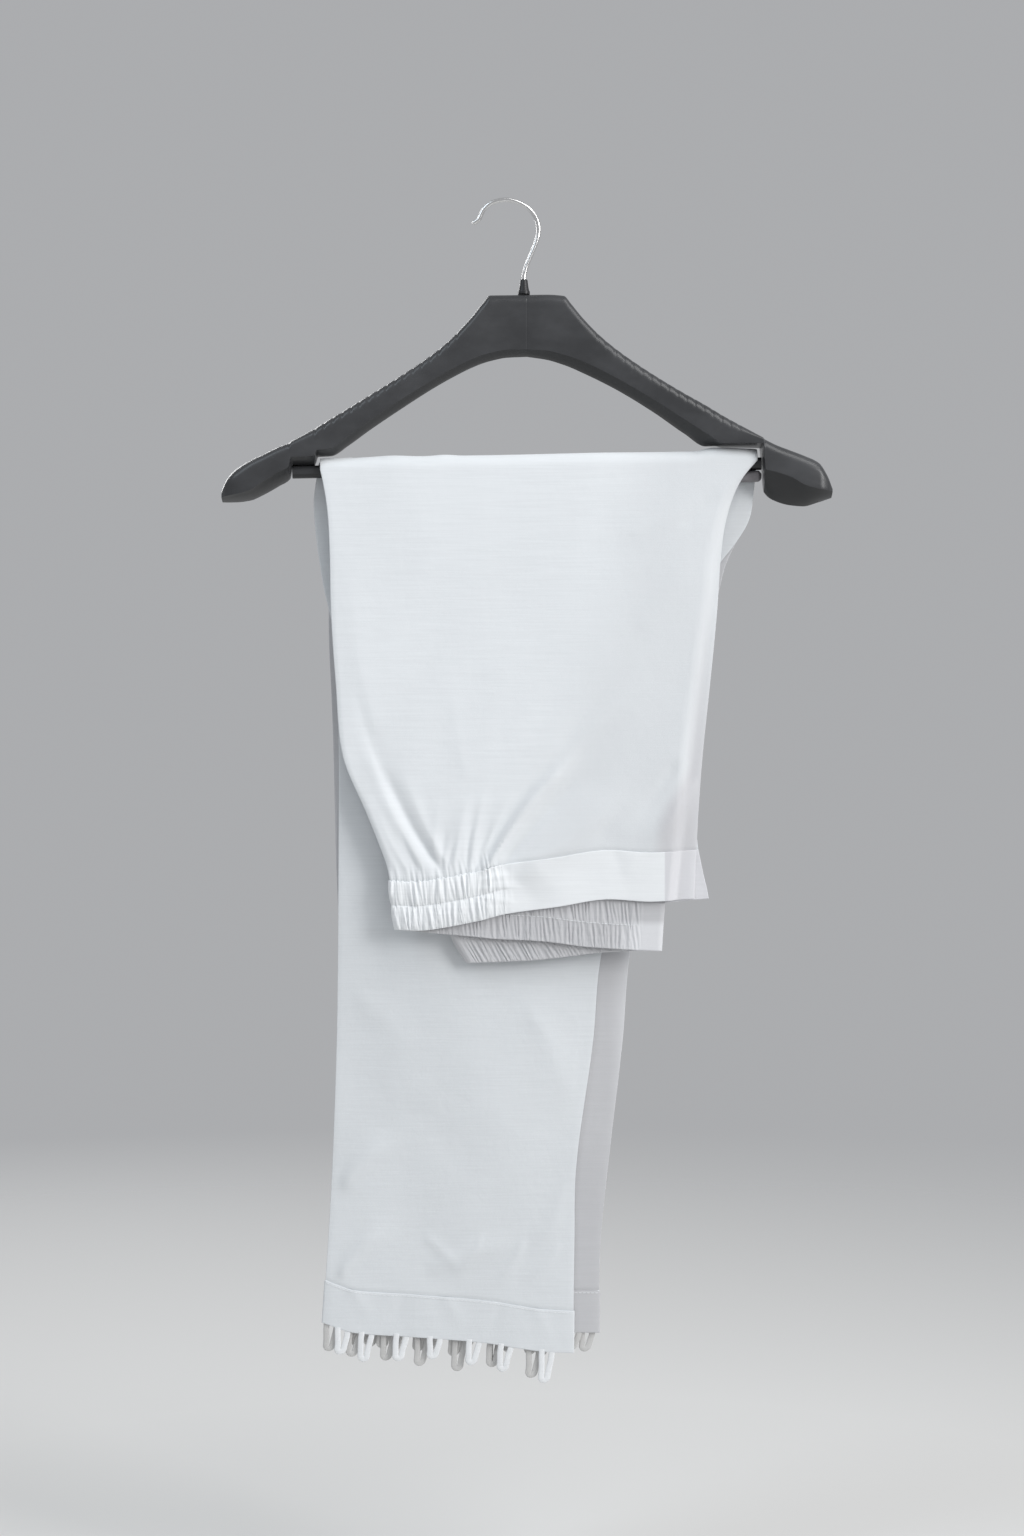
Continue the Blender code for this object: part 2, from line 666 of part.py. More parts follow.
def hem_loop(leg, layer, number, share, length, made_material):
    """Narrow tape folded into a loop that hangs from the hem band's edge."""
    x, y, z = rear_place(leg + "_" + layer, share, hem_edge(leg, share))
    top = z - SEAM_GAP
    path = loop_line(length)
    lean = LOOP_LEAN / length
    half = LOOP_THICKNESS / 2.0
    sections = []
    for i, (out, down) in enumerate(path):
        at_end = i in (0, len(path) - 1)
        before = path[max(0, i - 1)]
        after = path[min(len(path) - 1, i + 1)]
        run_x = 0.0 if at_end else after[0] - before[0] - lean * (after[1] - before[1])
        run_z = before[1] - after[1]
        size = math.hypot(run_x, run_z)
        side_x = -run_z / size * LOOP_TAPE / 2.0
        side_z = run_x / size * LOOP_TAPE / 2.0
        section = []
        for turn, face in ((1, -half), (1, half), (-1, half), (-1, -half)):
            at_x = x + out - lean * down + turn * side_x
            at_z = hem_edge_at(leg, at_x) - SEAM_GAP if at_end else top - down + turn * side_z
            section.append((at_x, y + face, at_z))
        sections.append(section)
    return loft("%s_hem_loop_%02d" % (leg, number), sections, made_material)


def hem_loops(leg, made_material):
    """Loops of both panels of a leg, those of one between those of the other."""
    for panel_index, layer in enumerate(("front", "back")):
        for i, place in enumerate(LOOPS):
            share = getattr(place, layer)
            length = getattr(place, layer + "_length")
            if leg == "outer":
                share += LOOP_OUTER_SHIFT
                length *= LOOP_OUTER_LAST if place is LOOPS[-1] else 1.0
            hem_loop(leg, layer, panel_index * len(LOOPS) + i + 1, share, length, made_material)


def arm_section(side, row):
    """Section of the hanger: crowned top, upright faces, lower faces sloping in to an edge."""
    x = HANGER_CENTRE + side * row.distance
    height = row.top - row.ridge
    half = []
    for across, z in (
        (0.0, row.top),
        (0.62, row.top - 0.07 * height),
        (0.95, row.top - 0.30 * height),
        (1.0, row.ridge),
        (0.55, mix(row.ridge, row.low, 0.55)),
        (0.0, row.low),
    ):
        half.append((across * row.half_depth, z))
    left = [(x, -y, z) for y, z in half]
    right = [(x, y, z) for y, z in reversed(half[1:-1])]
    return left + right


def hanger_body(made_material):
    left = [arm_section(-1.0, row) for row in LEFT_ARM]
    right = [arm_section(1.0, row) for row in (HANGER_MIDDLE,) + RIGHT_ARM]
    return loft("hanger_body", left[::-1] + right, made_material, PLASTIC_SHADING)


def rail(made_material):
    """Bar between the arms, with rounded top and bottom."""
    sections = []
    for side in (-1.0, 1.0):
        x = HANGER_CENTRE + side * RAIL_REACH
        top = rail_top(x)
        section = []
        for centre, start in ((top - RAIL_RADIUS, 0), (top - RAIL_HEIGHT + RAIL_RADIUS, 4)):
            for step in range(5):
                angle = math.pi * (start + step) / 4.0
                section.append((x, RAIL_RADIUS * math.cos(angle), centre + RAIL_RADIUS * math.sin(angle)))
        sections.append(section)
    return loft("hanger_rail", sections, made_material)


def grip(made_material):
    """Round grip rod under the rail, with rounded ends."""
    right = HANGER_CENTRE + RAIL_REACH
    radius = GRIP_DIAMETER / 2.0
    sides = 10
    stations = [(GRIP_LEFT + row.inset, row.share) for row in GRIP_END]
    stations += [(right - row.inset, row.share) for row in reversed(GRIP_END)]
    sections = []
    for x, share in stations:
        centre = rail_top(x) - RAIL_HEIGHT - SEAM_GAP - radius
        sections.append([
            (x, share * radius * math.cos(2 * math.pi * i / sides),
             centre + share * radius * math.sin(2 * math.pi * i / sides))
            for i in range(sides)
        ])
    return loft("hanger_grip", sections, made_material)


def hook(made_material):
    """Bent wire, as a tube along a smooth curve through the hook's points."""
    count = len(HOOK)
    path = []
    for i in range(count - 1):
        before = HOOK[max(0, i - 1)]
        here = HOOK[i]
        after = HOOK[i + 1]
        beyond = HOOK[min(count - 1, i + 2)]
        for step in range(HOOK_STEPS):
            t = step / HOOK_STEPS
            path.append(tuple(
                0.5 * (2 * b + (c - a) * t + (2 * a - 5 * b + 4 * c - d) * t**2
                       + (3 * b - a - 3 * c + d) * t**3)
                for a, b, c, d in zip(before, here, after, beyond)
            ))
    path.append((HOOK[-1].x, HOOK[-1].z))
    sides = 8
    radius = HOOK_WIRE / 2.0
    sections = []
    for i, (x, z) in enumerate(path):
        x0, z0 = path[max(0, i - 1)]
        x1, z1 = path[min(len(path) - 1, i + 1)]
        size = math.hypot(x1 - x0, z1 - z0)
        side_x = -(z1 - z0) / size
        side_z = (x1 - x0) / size
        section = []
        for k in range(sides):
            angle = 2.0 * math.pi * k / sides
            out = radius * math.cos(angle)
            section.append((x + side_x * out, radius * math.sin(angle), z + side_z * out))
        sections.append(section)
    return loft("hanger_hook", sections, made_material)


def ferrule(made_material):
    """Small collar that the hook's wire turns in."""
    sides = 16
    waist = mix(FERRULE_TOP, FERRULE_FOOT, 0.55)
    rings = (
        (FERRULE_TOP, FERRULE_TOP_RADIUS),
        (waist, mix(FERRULE_TOP_RADIUS, FERRULE_FOOT_RADIUS, 0.35)),
        (FERRULE_FOOT, FERRULE_FOOT_RADIUS),
    )
    sections = []
    for z, radius in rings:
        sections.append([
            (FERRULE_CENTRE + radius * math.cos(2 * math.pi * i / sides),
             radius * math.sin(2 * math.pi * i / sides), z)
            for i in range(sides)
        ])
    return loft("hanger_ferrule", sections, made_material, 40.0)


def clear_scene():
    for old in list(bpy.data.objects):
        bpy.data.objects.remove(old, do_unlink=True)


def main():
    clear_scene()
    cotton = material("white_cotton", (0.78, 0.81, 0.83), 0.85)
    tape = material("white_tape", (0.80, 0.82, 0.84), 0.80)
    plastic = material("charcoal_plastic", (0.07, 0.07, 0.078), 0.30)
    rubber = material("grey_grip", (0.18, 0.175, 0.185), 0.60)
    chrome = material("chrome_wire", (0.80, 0.80, 0.81), 0.15, 1.0)
    for layer in LAYERS:
        panel(layer, cotton)
    for leg in ("outer", "inner"):
        flat_band(leg, cotton)
        elastic_band(leg, cotton)
        hem_band(leg, cotton)
        hem_loops(leg, tape)
    hanger_body(plastic)
    rail(plastic)
    grip(rubber)
    ferrule(plastic)
    hook(chrome)


main()
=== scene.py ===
"""The looks of the white straight-leg trousers on their suit hanger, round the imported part.

The origin is the inner top of the hanger's hook. +X is to the viewer's right, +Y points away
from the viewer and +Z up. Cloth and hanger are worked out in millimetres, and meshes, lights
and the camera are in metres.

The folded trousers pass over the rail in four layers of cloth. The outer leg lies outside and
the inner leg lies against the rail. Both legs hang behind, the waist hangs in front.
"""

import math
from collections import namedtuple

import bpy
import numpy as np
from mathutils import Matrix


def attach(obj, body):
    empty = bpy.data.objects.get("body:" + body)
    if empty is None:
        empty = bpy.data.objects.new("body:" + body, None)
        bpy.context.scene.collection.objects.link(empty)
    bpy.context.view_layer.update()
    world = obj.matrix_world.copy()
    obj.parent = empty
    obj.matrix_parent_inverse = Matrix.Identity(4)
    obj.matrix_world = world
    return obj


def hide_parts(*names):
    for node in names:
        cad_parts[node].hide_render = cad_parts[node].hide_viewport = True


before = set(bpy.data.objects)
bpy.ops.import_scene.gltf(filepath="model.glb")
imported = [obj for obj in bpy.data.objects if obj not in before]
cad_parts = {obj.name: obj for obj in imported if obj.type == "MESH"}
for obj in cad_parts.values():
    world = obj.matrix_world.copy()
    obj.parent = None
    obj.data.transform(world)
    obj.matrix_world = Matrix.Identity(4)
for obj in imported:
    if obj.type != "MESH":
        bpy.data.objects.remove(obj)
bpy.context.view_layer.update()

MM = 0.001

# Cloth: the solids' wall and spacing, and the finer cloth that is drawn on them
SOLID_WALL = 1.0
SEAM_GAP = 0.3
LAYER_PITCH = SOLID_WALL + SEAM_GAP
CLOTH = 0.7
DOUBLE_CLOTH = 0.95
TOUCH = 0.06
FRONT_SPLAY = 1.9
FRONT_LENGTH = 330.0
EDGE_CLOSING = 4.0
RISE_CLEARANCE = 1.5
RISE_CLOSING = 30.0
RISE_DIP = 7.0
FOLD_MARGIN = 8.0
LEG_PUFF = 2.4
LEG_PUFF_START = 70.0
LEG_PUFF_LENGTH = 160.0
# A panel reaches a little way under its bands and sinks there: how far, how deep, and where
TUCK = 1.6
TUCK_DEPTH = 0.62
TUCK_START = 0.2
TUCK_EASE = 2.2
BAND_PROUD = 0.12
# Distances from a rim at which rows and columns crowd, so that the rim is round
RIM = (0.0, 0.08, 0.22, 0.45, 1.0, 2.0)

# Waistband and hem
WAISTBAND_HEIGHT = 34.5
HEM_BAND_HEIGHT = 30.0
ELASTIC_SHARE = 0.37
WAIST_WIDTH = 211.0
FRONT_GATHER_PITCH = 4.5
BACK_GATHER_PITCH = 3.1
GATHER_HEIGHT = 1.75
PUFF_HEIGHT = 1.35
BACK_GATHER_HEIGHT = 0.8
GATHER_FADE = 26.0
# Pitch of the finer gathers, as a share of the larger ones'
FINE_PITCH = 0.42
CASING_ROWS = 2
SEAM_RAGGED = 1.3
CENTRE_BACK_PIECE = 17.0
# Flat widths that rows and columns are counted on
BACK_WIDTH = 185.0
HEM_WIDTH = 178.0
BAND_STEP = 1.3
HEM_STEP = 2.4
# Columns of the elastic: width of one in front, their number behind, and steps round the side fold
FRONT_COLUMN = 0.5
BACK_COLUMNS = 350
FOLD_TURNS = (0.2, 0.5, 0.8)
# Steps round each side of the hem, and how far it bulges there
HEM_TURNS = (0.25, 0.5, 0.75)
HEM_BULGE = 0.4

# Loops under the hem
LOOP_WIDTH = 11.4
LOOP_TAPE = 4.2
LOOP_THICKNESS = 1.3
LOOP_TIP_RADIUS = 2.3
LOOP_LEAN = 2.6
LOOP_SEAM = 2.0
LOOP_SIDES = 12
LOOP_OUTER_SHIFT = 0.06
LOOP_OUTER_LAST = 0.62
# Place along the hem and length of each loop, on the panel nearest the viewer and on the next
LoopPlace = namedtuple("LoopPlace", "front front_length back back_length")
LOOPS = (
    LoopPlace(0.082, 17.2, 0.036, 18.1),
    LoopPlace(0.178, 19.5, 0.131, 17.2),
    LoopPlace(0.317, 17.5, 0.266, 18.3),
    LoopPlace(0.450, 14.6, 0.400, 20.6),
    LoopPlace(0.607, 16.5, 0.552, 22.5),
    LoopPlace(0.734, 18.1, 0.690, 16.7),
    LoopPlace(0.896, 22.0, 0.845, 19.9),
)

# Rail and grip
RAIL_HEIGHT = 9.0
RAIL_THICKNESS = 8.0
RAIL_RADIUS = RAIL_THICKNESS / 2.0
RAIL_TOP_AT_CENTRE = -183.0
RAIL_SLOPE = 0.0183
RAIL_REACH = 165.4
RAIL_STATIONS = 60
RAIL_STEPS = 12
GRIP_DIAMETER = 8.0
GRIP_LEFT = -118.0
GRIP_SIDES = 28
GRIP_STATIONS = 120
# Distances in from the grip's ends at which its rounding is shaped
GRIP_INSETS = (0.0, 0.15, 0.5, 1.1, 2.2)
# Near its right end the folded cloth stands off the rail
END_LIFT = 2.5
END_LIFT_AT_EDGE = 1.0
END_LIFT_START = 130.0
END_LIFT_FULL = 142.0
END_LIFT_EDGE = 178.0

# Hanger, hook and ferrule
HANGER_CENTRE = 14.8
HOOK_WIRE = 3.2
FERRULE_CENTRE = 12.6
FERRULE_SIDES = 36
# Distances from the middle of the first sections, which shape the mould seam
SEAM_DISTANCES = (0.0, 0.2, 0.4, 0.6, 0.9, 1.3)
# Rounding of an arm's top, and its share of the height where the arm is low
TOP_ROUNDING = 8.5
TOP_ROUNDING_SHARE = 0.45
TOP_STEPS = 8
# Points down an arm's upright face, and across and down its lower one, as shares
UPRIGHT_POINTS = (0.35, 0.7, 0.93)
LOWER_POINTS = ((0.75, 0.34), (0.52, 0.62), (0.28, 0.84))

# Edges of the front drop at each height: side fold of the outer and of the inner leg, front
# rise of the outer and of the inner leg, back rise
FrontRow = namedtuple("FrontRow", "z side_outer side_inner rise_outer rise_inner back_rise")
FRONT_DROP = (
    FrontRow(-181, -133.0, -132.0, 178.6, 178.2, 170.0),
    FrontRow(-196, -129.2, -128.0, 166.0, 165.6, 158.0),
    FrontRow(-217, -125.7, -123.5, 157.0, 156.6, 148.5),
    FrontRow(-243, -124.0, -120.5, 152.0, 151.6, 142.5),
    FrontRow(-291, -122.8, -116.0, 148.5, 148.1, 136.0),
    FrontRow(-340, -119.5, -109.0, 143.7, 143.3, 129.0),
    FrontRow(-391, -114.4, -96.0, 138.4, 138.0, 122.5),
    FrontRow(-431, -97.8, -78.0, 135.4, 135.1, 118.0),
    FrontRow(-450, -90.1, -69.3, 134.4, 134.6, 116.0),
    FrontRow(-470, -83.0, -60.0, 133.3, 138.2, 114.0),
    FrontRow(-492, -80.0, -49.0, 132.6, 142.8, 112.0),
    FrontRow(-515, -77.0, -39.5, 132.4, 143.2, 110.3),
    FrontRow(-537, -75.0, -26.5, 132.4, 143.2, 109.0),
)

# Edges of the rear drop at each height: side fold and inseam of each leg
RearRow = namedtuple("RearRow", "z side_outer inseam_outer side_inner inseam_inner")
REAR_DROP = (
    RearRow(-181, -131.5, 177.5, -132.0, 177.5),
    RearRow(-208, -131.5, 174.6, -136.0, 174.9),
    RearRow(-224, -130.7, 171.8, -135.6, 172.0),
    RearRow(-240, -129.5, 162.9, -134.0, 162.6),
    RearRow(-257, -127.6, 155.2, -131.6, 149.5),
    RearRow(-273, -126.0, 151.2, -128.8, 142.5),
    RearRow(-309, -125.5, 142.6, -121.0, 134.5),
    RearRow(-371, -122.8, 128.0, -118.6, 118.0),
    RearRow(-457, -120.7, 104.0, -118.6, 90.5),
    RearRow(-529, -118.0, 88.2, -119.0, 68.0),
    RearRow(-594, -117.2, 82.6, -120.0, 61.5),
    RearRow(-680, -118.7, 72.5, -123.0, 49.8),
    RearRow(-735, -119.7, 67.0, -126.0, 48.4),
    RearRow(-812, -121.6, 65.7, -131.0, 47.4),
)

# Lower edge of the waistband on each layer, at a share of the way from side fold to rise
WaistRow = namedtuple("WaistRow", "share outer_front outer_back inner_back inner_front")
WAIST_EDGE = (
    WaistRow(0.00, -512.5, -512.5, -536.3, -536.3),
    WaistRow(0.10, -513.0, -514.5, -536.0, -529.0),
    WaistRow(0.28, -506.5, -517.5, -535.0, -521.0),
    WaistRow(0.37, -501.8, -519.3, -534.3, -516.5),
    WaistRow(0.55, -496.5, -521.0, -531.5, -507.0),
    WaistRow(0.70, -491.5, -524.5, -529.0, -499.0),
    WaistRow(0.85, -493.0, -526.5, -528.0, -494.0),
    WaistRow(1.00, -491.4, -527.8, -527.8, -491.2),
)

# Lower edge of the hem band on each leg, at a share of the way from side fold to inseam
HemRow = namedtuple("HemRow", "share outer inner")
HEM_EDGE = (
    HemRow(0.00, -790.4, -791.8),
    HemRow(0.12, -792.5, -798.6),
    HemRow(0.36, -795.0, -801.7),
    HemRow(0.64, -797.5, -806.0),
    HemRow(0.87, -799.2, -812.0),
    HemRow(1.00, -799.6, -813.4),
)

# Folds and creases of each layer and drop: start and end across and up, height above the cloth
# and width. A height below zero is a trough. "band" is the flat front of the waistband.
Fold = namedtuple("Fold", "x0 z0 x1 z1 height width")
FOLDS = {
    ("outer_front", "front"): (
        Fold(-58.0, -469, -98.0, -384, 1.4, 5.0),
        Fold(-48.0, -468, -84.0, -403, -2.2, 3.4),
        Fold(-79.0, -418, -107.0, -340, -1.2, 6.0),
        Fold(-90.0, -404, -112.0, -330, 0.8, 7.0),
        Fold(-41.0, -467, -71.0, -404, 0.9, 3.6),
        Fold(-62.0, -470, -75.0, -440, -0.7, 2.4),
        Fold(-69.0, -471, -92.0, -424, 0.9, 3.4),
        Fold(-76.0, -472, -102.0, -402, 0.8, 4.0),
        Fold(-50.0, -463, -46.5, -424, 0.6, 3.0),
        Fold(-44.7, -468, -41.0, -440, -0.8, 1.9),
        Fold(-36.0, -467, -25.0, -418, 1.0, 3.2),
        Fold(-41.0, -468, -32.0, -444, -0.8, 1.8),
        Fold(-29.0, -400, -38.0, -322, 0.5, 8.0),
        Fold(-24.0, -467, -13.0, -410, 0.8, 3.0),
        Fold(-27.5, -468, -20.0, -426, -0.9, 1.9),
        Fold(-16.5, -467, 3.0, -418, 0.8, 2.8),
        Fold(-20.7, -468, -9.0, -437, -0.8, 1.9),
        Fold(-12.0, -467, 42.0, -396, 3.6, 3.0),
        Fold(-17.5, -464, 30.0, -398, -1.1, 2.4),
        Fold(30.0, -410, 88.0, -346, 1.4, 5.0),
        Fold(-2.0, -466, 58.0, -402, -1.9, 4.0),
        Fold(14.0, -474, 92.0, -418, 2.6, 11.0),
        Fold(66.0, -448, 112.0, -396, -1.0, 9.0),
        Fold(16.0, -463, 60.0, -452, 0.5, 5.0),
        Fold(118.0, -398, 88.0, -440, -1.2, 5.0),
        Fold(134.0, -410, 100.0, -454, 2.4, 5.0),
        Fold(60.0, -414, 118.0, -368, -0.6, 12.0),
        Fold(-92.0, -372, -110.0, -248, 0.7, 9.0),
        Fold(-6.0, -386, 26.0, -300, -0.5, 12.0),
        Fold(24.0, -398, 98.0, -288, 0.5, 11.0),
        Fold(96.0, -300, 140.0, -252, 0.6, 9.0),
        Fold(88.0, -236, 150.0, -212, 0.5, 8.0),
        Fold(126.0, -228, 152.0, -206, -0.7, 5.0),
    ),
    ("outer_front", "band"): (
        Fold(-18.0, -472, 4.0, -466, 0.7, 1.4),
        Fold(-18.0, -478, 9.0, -474, 0.6, 1.4),
        Fold(-18.0, -484, 13.0, -483, 0.6, 1.5),
        Fold(-18.0, -490, 8.0, -495, 0.5, 1.4),
        Fold(-2.0, -470, 24.0, -497, -0.6, 5.0),
        Fold(22.0, -470, 44.0, -496, 0.5, 8.0),
        Fold(76.0, -458, 84.0, -494, -0.5, 6.0),
        Fold(92.0, -458, 70.0, -492, 0.4, 7.0),
    ),
    ("inner_hem", "hem"): (
        Fold(-112.0, -764, -96.0, -790, 0.5, 3.5),
        Fold(-72.0, -768, -80.0, -796, -0.4, 4.0),
        Fold(-46.0, -770, -30.0, -798, 0.5, 4.0),
        Fold(-4.0, -772, -12.0, -802, -0.4, 3.5),
        Fold(18.0, -776, 30.0, -806, 0.5, 4.0),
    ),
    ("outer_hem", "hem"): (
        Fold(-90.0, -762, -76.0, -790, 0.4, 4.0),
        Fold(10.0, -768, -4.0, -794, 0.4, 4.0),
    ),
    ("inner_front", "rear"): (
        Fold(-116.0, -694, -78.0, -660, 2.0, 6.0),
        Fold(-118.0, -758, -84.0, -722, 1.8, 5.0),
        Fold(-50.0, -752, 10.0, -735, 1.2, 6.0),
        Fold(-56.0, -732, -31.0, -756, 0.8, 3.0),
        Fold(-18.0, -733, -36.0, -757, 0.7, 2.8),
        Fold(12.0, -736, -8.0, -766, 0.9, 3.2),
        Fold(37.0, -738, 15.0, -764, 0.7, 3.0),
        Fold(45.0, -690, 20.0, -744, 0.7, 5.0),
        Fold(-104.0, -560, -66.0, -604, 0.7, 9.0),
        Fold(18.0, -572, 46.0, -640, 0.8, 8.0),
        Fold(-70.0, -640, -20.0, -690, -0.6, 11.0),
    ),
    ("outer_front", "rear"): (
        Fold(-110.0, -700, -66.0, -664, 1.8, 6.0),
        Fold(-40.0, -735, 22.0, -752, 1.4, 6.0),
        Fold(62.0, -330, -4.0, -300, 1.0, 10.0),
        Fold(116.0, -262, 52.0, -246, 1.0, 8.0),
        Fold(-106.0, -420, -42.0, -388, 0.8, 9.0),
        Fold(-108.0, -300, -60.0, -262, 0.9, 8.0),
        Fold(44.0, -560, 82.0, -604, 0.9, 6.0),
        Fold(-92.0, -600, -30.0, -622, -0.6, 9.0),
        Fold(-22.0, -250, -28.0, -690, 0.5, 8.0),
        Fold(50.0, -690, 28.0, -742, 0.8, 5.0),
        Fold(-60.0, -722, -38.0, -752, 0.7, 3.4),
    ),
}

# Broad unevenness of hanging cloth: lengths across and up, phase and height
Wave = namedtuple("Wave", "across up phase height")
FRONT_WAVES = (
    Wave(210.0, -340.0, 0.6, 0.60),
    Wave(-134.0, 190.0, 2.1, 0.34),
    Wave(81.0, 255.0, 4.0, 0.22),
    Wave(-47.0, 118.0, 1.2, 0.10),
)
REAR_WAVES = (
    Wave(240.0, 420.0, 1.4, 0.80),
    Wave(-150.0, 260.0, 0.2, 0.46),
    Wave(92.0, -205.0, 3.1, 0.30),
    Wave(57.0, 131.0, 5.0, 0.14),
)
WAVE_START = 10.0
WAVE_LENGTH = 90.0

# Along the hanger: distance from its centre, top, front ridge, lowest edge, half depth. Its arms
# aren't alike, because it hangs turned a little, and each is built as it is seen.
ArmRow = namedtuple("ArmRow", "distance top ridge low half_depth")
HANGER_MIDDLE = ArmRow(0.0, -65.8, -104.9, -109.1, 8.0)
LEFT_ARM = (
    ArmRow(14.0, -66.0, -105.3, -109.7, 8.2),
    ArmRow(26.0, -66.2, -107.6, -112.1, 8.5),
    ArmRow(31.0, -71.3, -109.0, -113.6, 8.6),
    ArmRow(39.0, -81.3, -112.2, -116.8, 8.8),
    ArmRow(51.0, -94.2, -118.0, -122.8, 9.0),
    ArmRow(66.0, -107.2, -126.6, -131.3, 9.4),
    ArmRow(90.0, -123.6, -141.6, -146.7, 10.2),
    ArmRow(111.0, -136.7, -155.8, -160.9, 11.2),
    ArmRow(126.0, -146.0, -166.6, -171.8, 12.0),
    ArmRow(138.0, -153.2, -174.9, -179.2, 12.8),
    ArmRow(147.9, -159.6, -176.6, -179.9, 13.5),
    ArmRow(149.6, -160.6, -180.4, -185.4, 13.6),
    ArmRow(165.8, -169.7, -181.6, -185.7, 14.6),
    ArmRow(166.8, -170.3, -187.6, -194.9, 14.7),
    ArmRow(175.0, -173.6, -192.4, -200.4, 15.2),
    ArmRow(186.0, -179.0, -199.4, -206.6, 15.8),
    ArmRow(195.0, -183.4, -205.2, -210.5, 16.0),
    ArmRow(205.0, -189.8, -207.6, -211.8, 15.2),
    ArmRow(211.0, -196.4, -208.6, -211.9, 12.6),
    ArmRow(214.8, -204.2, -209.2, -211.8, 8.0),
)
RIGHT_ARM = (
    ArmRow(14.0, -65.6, -105.9, -111.2, 8.2),
    ArmRow(26.0, -66.5, -108.8, -114.8, 8.5),
    ArmRow(31.0, -72.0, -110.4, -116.7, 8.6),
    ArmRow(39.0, -81.8, -113.4, -120.3, 8.8),
    ArmRow(51.0, -94.2, -119.0, -126.0, 9.0),
    ArmRow(66.0, -106.5, -127.0, -133.9, 9.4),
    ArmRow(90.0, -122.8, -141.2, -148.7, 10.2),
    ArmRow(111.0, -135.5, -154.8, -163.3, 11.2),
    ArmRow(126.0, -144.0, -164.6, -172.3, 12.0),
    ArmRow(138.0, -151.3, -171.4, -172.2, 12.8),
    ArmRow(165.8, -167.2, -171.8, -172.2, 14.6),
    ArmRow(166.8, -167.8, -189.8, -204.0, 14.7),
    ArmRow(175.0, -172.0, -192.2, -210.8, 15.2),
    ArmRow(186.0, -176.3, -196.2, -213.9, 15.8),
    ArmRow(195.0, -179.8, -201.2, -214.6, 16.0),
    ArmRow(205.0, -184.6, -203.8, -212.0, 15.2),
    ArmRow(211.0, -193.4, -204.6, -210.0, 12.6),
    ArmRow(214.8, -202.4, -205.2, -208.7, 8.0),
)
ARM_STEP = 0.75
NOTCH_PITCH = 6.2
NOTCH_DEPTH = 0.45
NOTCH_FIRST = 44.0
NOTCH_LAST = 152.0
SEAM_DEPTH = 0.12
SEAM_WIDTH = 0.45
# Where the left arm reaches down on to the rail
ARM_ON_RAIL = 0.7
ON_RAIL_FIRST = 149.2
ON_RAIL_LAST = 166.4
ON_RAIL_EASE = 0.8

# Centre line of the hook's wire, from its tip over the top and down to the ferrule
HookPoint = namedtuple("HookPoint", "x z")
HOOK = (
    HookPoint(-23.8, -15.2),
    HookPoint(-19.2, -11.9),
    HookPoint(-15.9, -5.4),
    HookPoint(-10.2, -0.4),
    HookPoint(-3.0, 1.6),
    HookPoint(3.0, 1.6),
    HookPoint(9.0, -0.2),
    HookPoint(15.2, -3.7),
    HookPoint(20.0, -9.0),
    HookPoint(22.7, -15.5),
    HookPoint(22.9, -22.0),
    HookPoint(21.2, -28.5),
    HookPoint(18.2, -36.0),
    HookPoint(14.8, -44.0),
    HookPoint(13.0, -50.5),
    HookPoint(12.6, -54.4),
)
HOOK_STEPS = 10
HOOK_SIDES = 20

# Profile of the ferrule from its top down
FerruleRow = namedtuple("FerruleRow", "z radius")
FERRULE = (
    FerruleRow(-54.5, 1.75),
    FerruleRow(-54.7, 2.45),
    FerruleRow(-55.3, 2.7),
    FerruleRow(-57.6, 2.95),
    FerruleRow(-60.4, 3.35),
    FerruleRow(-62.4, 3.75),
    FerruleRow(-62.7, 4.15),
    FerruleRow(-63.3, 4.3),
    FerruleRow(-65.0, 4.3),
    FerruleRow(-65.2, 4.0),
)

LAYERS = ("inner_front", "inner_back", "outer_back", "outer_front")

# The way along Y that is out of the leg in the front drop. In the rear drop, and as a depth out
# from the rail, it is the way into the leg.
OUTWARD = {"inner_front": 1.0, "inner_back": -1.0, "outer_back": 1.0, "outer_front": -1.0}

# Which way a layer turns at its left and right edge, to meet the layer it is sewn to
CLOSES = {"outer_front": (-1, 0), "outer_back": (1, -1), "inner_back": (-1, 1), "inner_front": (1, 0)}

# Table columns that hold each layer's edges: left and right in front, left and right behind
EDGE_OF = {
    "outer_front": ("side_outer", "rise_outer", "side_outer", "inseam_outer"),
    "outer_back": ("side_outer", "back_rise", "side_outer", "inseam_outer"),
    "inner_back": ("side_inner", "back_rise", "side_inner", "inseam_inner"),
    "inner_front": ("side_inner", "rise_inner", "side_inner", "inseam_inner"),
}

# Spacing of each panel's points: across, down the front, and down behind
Spacing = namedtuple("Spacing", "across front rear")
SPACING = {
    "outer_front": Spacing(2.6, 2.4, 8.0),
    "outer_back": Spacing(3.6, 8.0, 5.0),
    "inner_back": Spacing(4.5, 9.0, 7.0),
    "inner_front": Spacing(2.4, 8.0, 3.2),
}
GATHER_COLUMNS = 9
ARC_STEPS = 14
# Length of each drop that a panel's rows are counted on, and the height at which its width is taken
FRONT_ROWS_LENGTH = 290.0
REAR_ROWS_LENGTH = 575.0
WIDTH_HEIGHT = -300.0
# Finer rows at the foot of a drop: on the gathered panel and elsewhere
Foot = namedtuple("Foot", "length step")
GATHERED_FOOT = Foot(30.0, 1.3)
PLAIN_FOOT = Foot(6.0, 1.5)

# Low lumps of the outer cloth where it turns over the rail: place across, width and height
Lump = namedtuple("Lump", "x width height")
TOP_LUMPS = (Lump(-80.0, 14.0, 1.0), Lump(-44.0, 9.0, 0.9), Lump(62.0, 30.0, 0.4))


# Reading the tables

def smooth(value):
    """Ease from 0 to 1 as value goes from 0 to 1."""
    value = np.clip(value, 0.0, 1.0)
    return value * value * (3.0 - 2.0 * value)


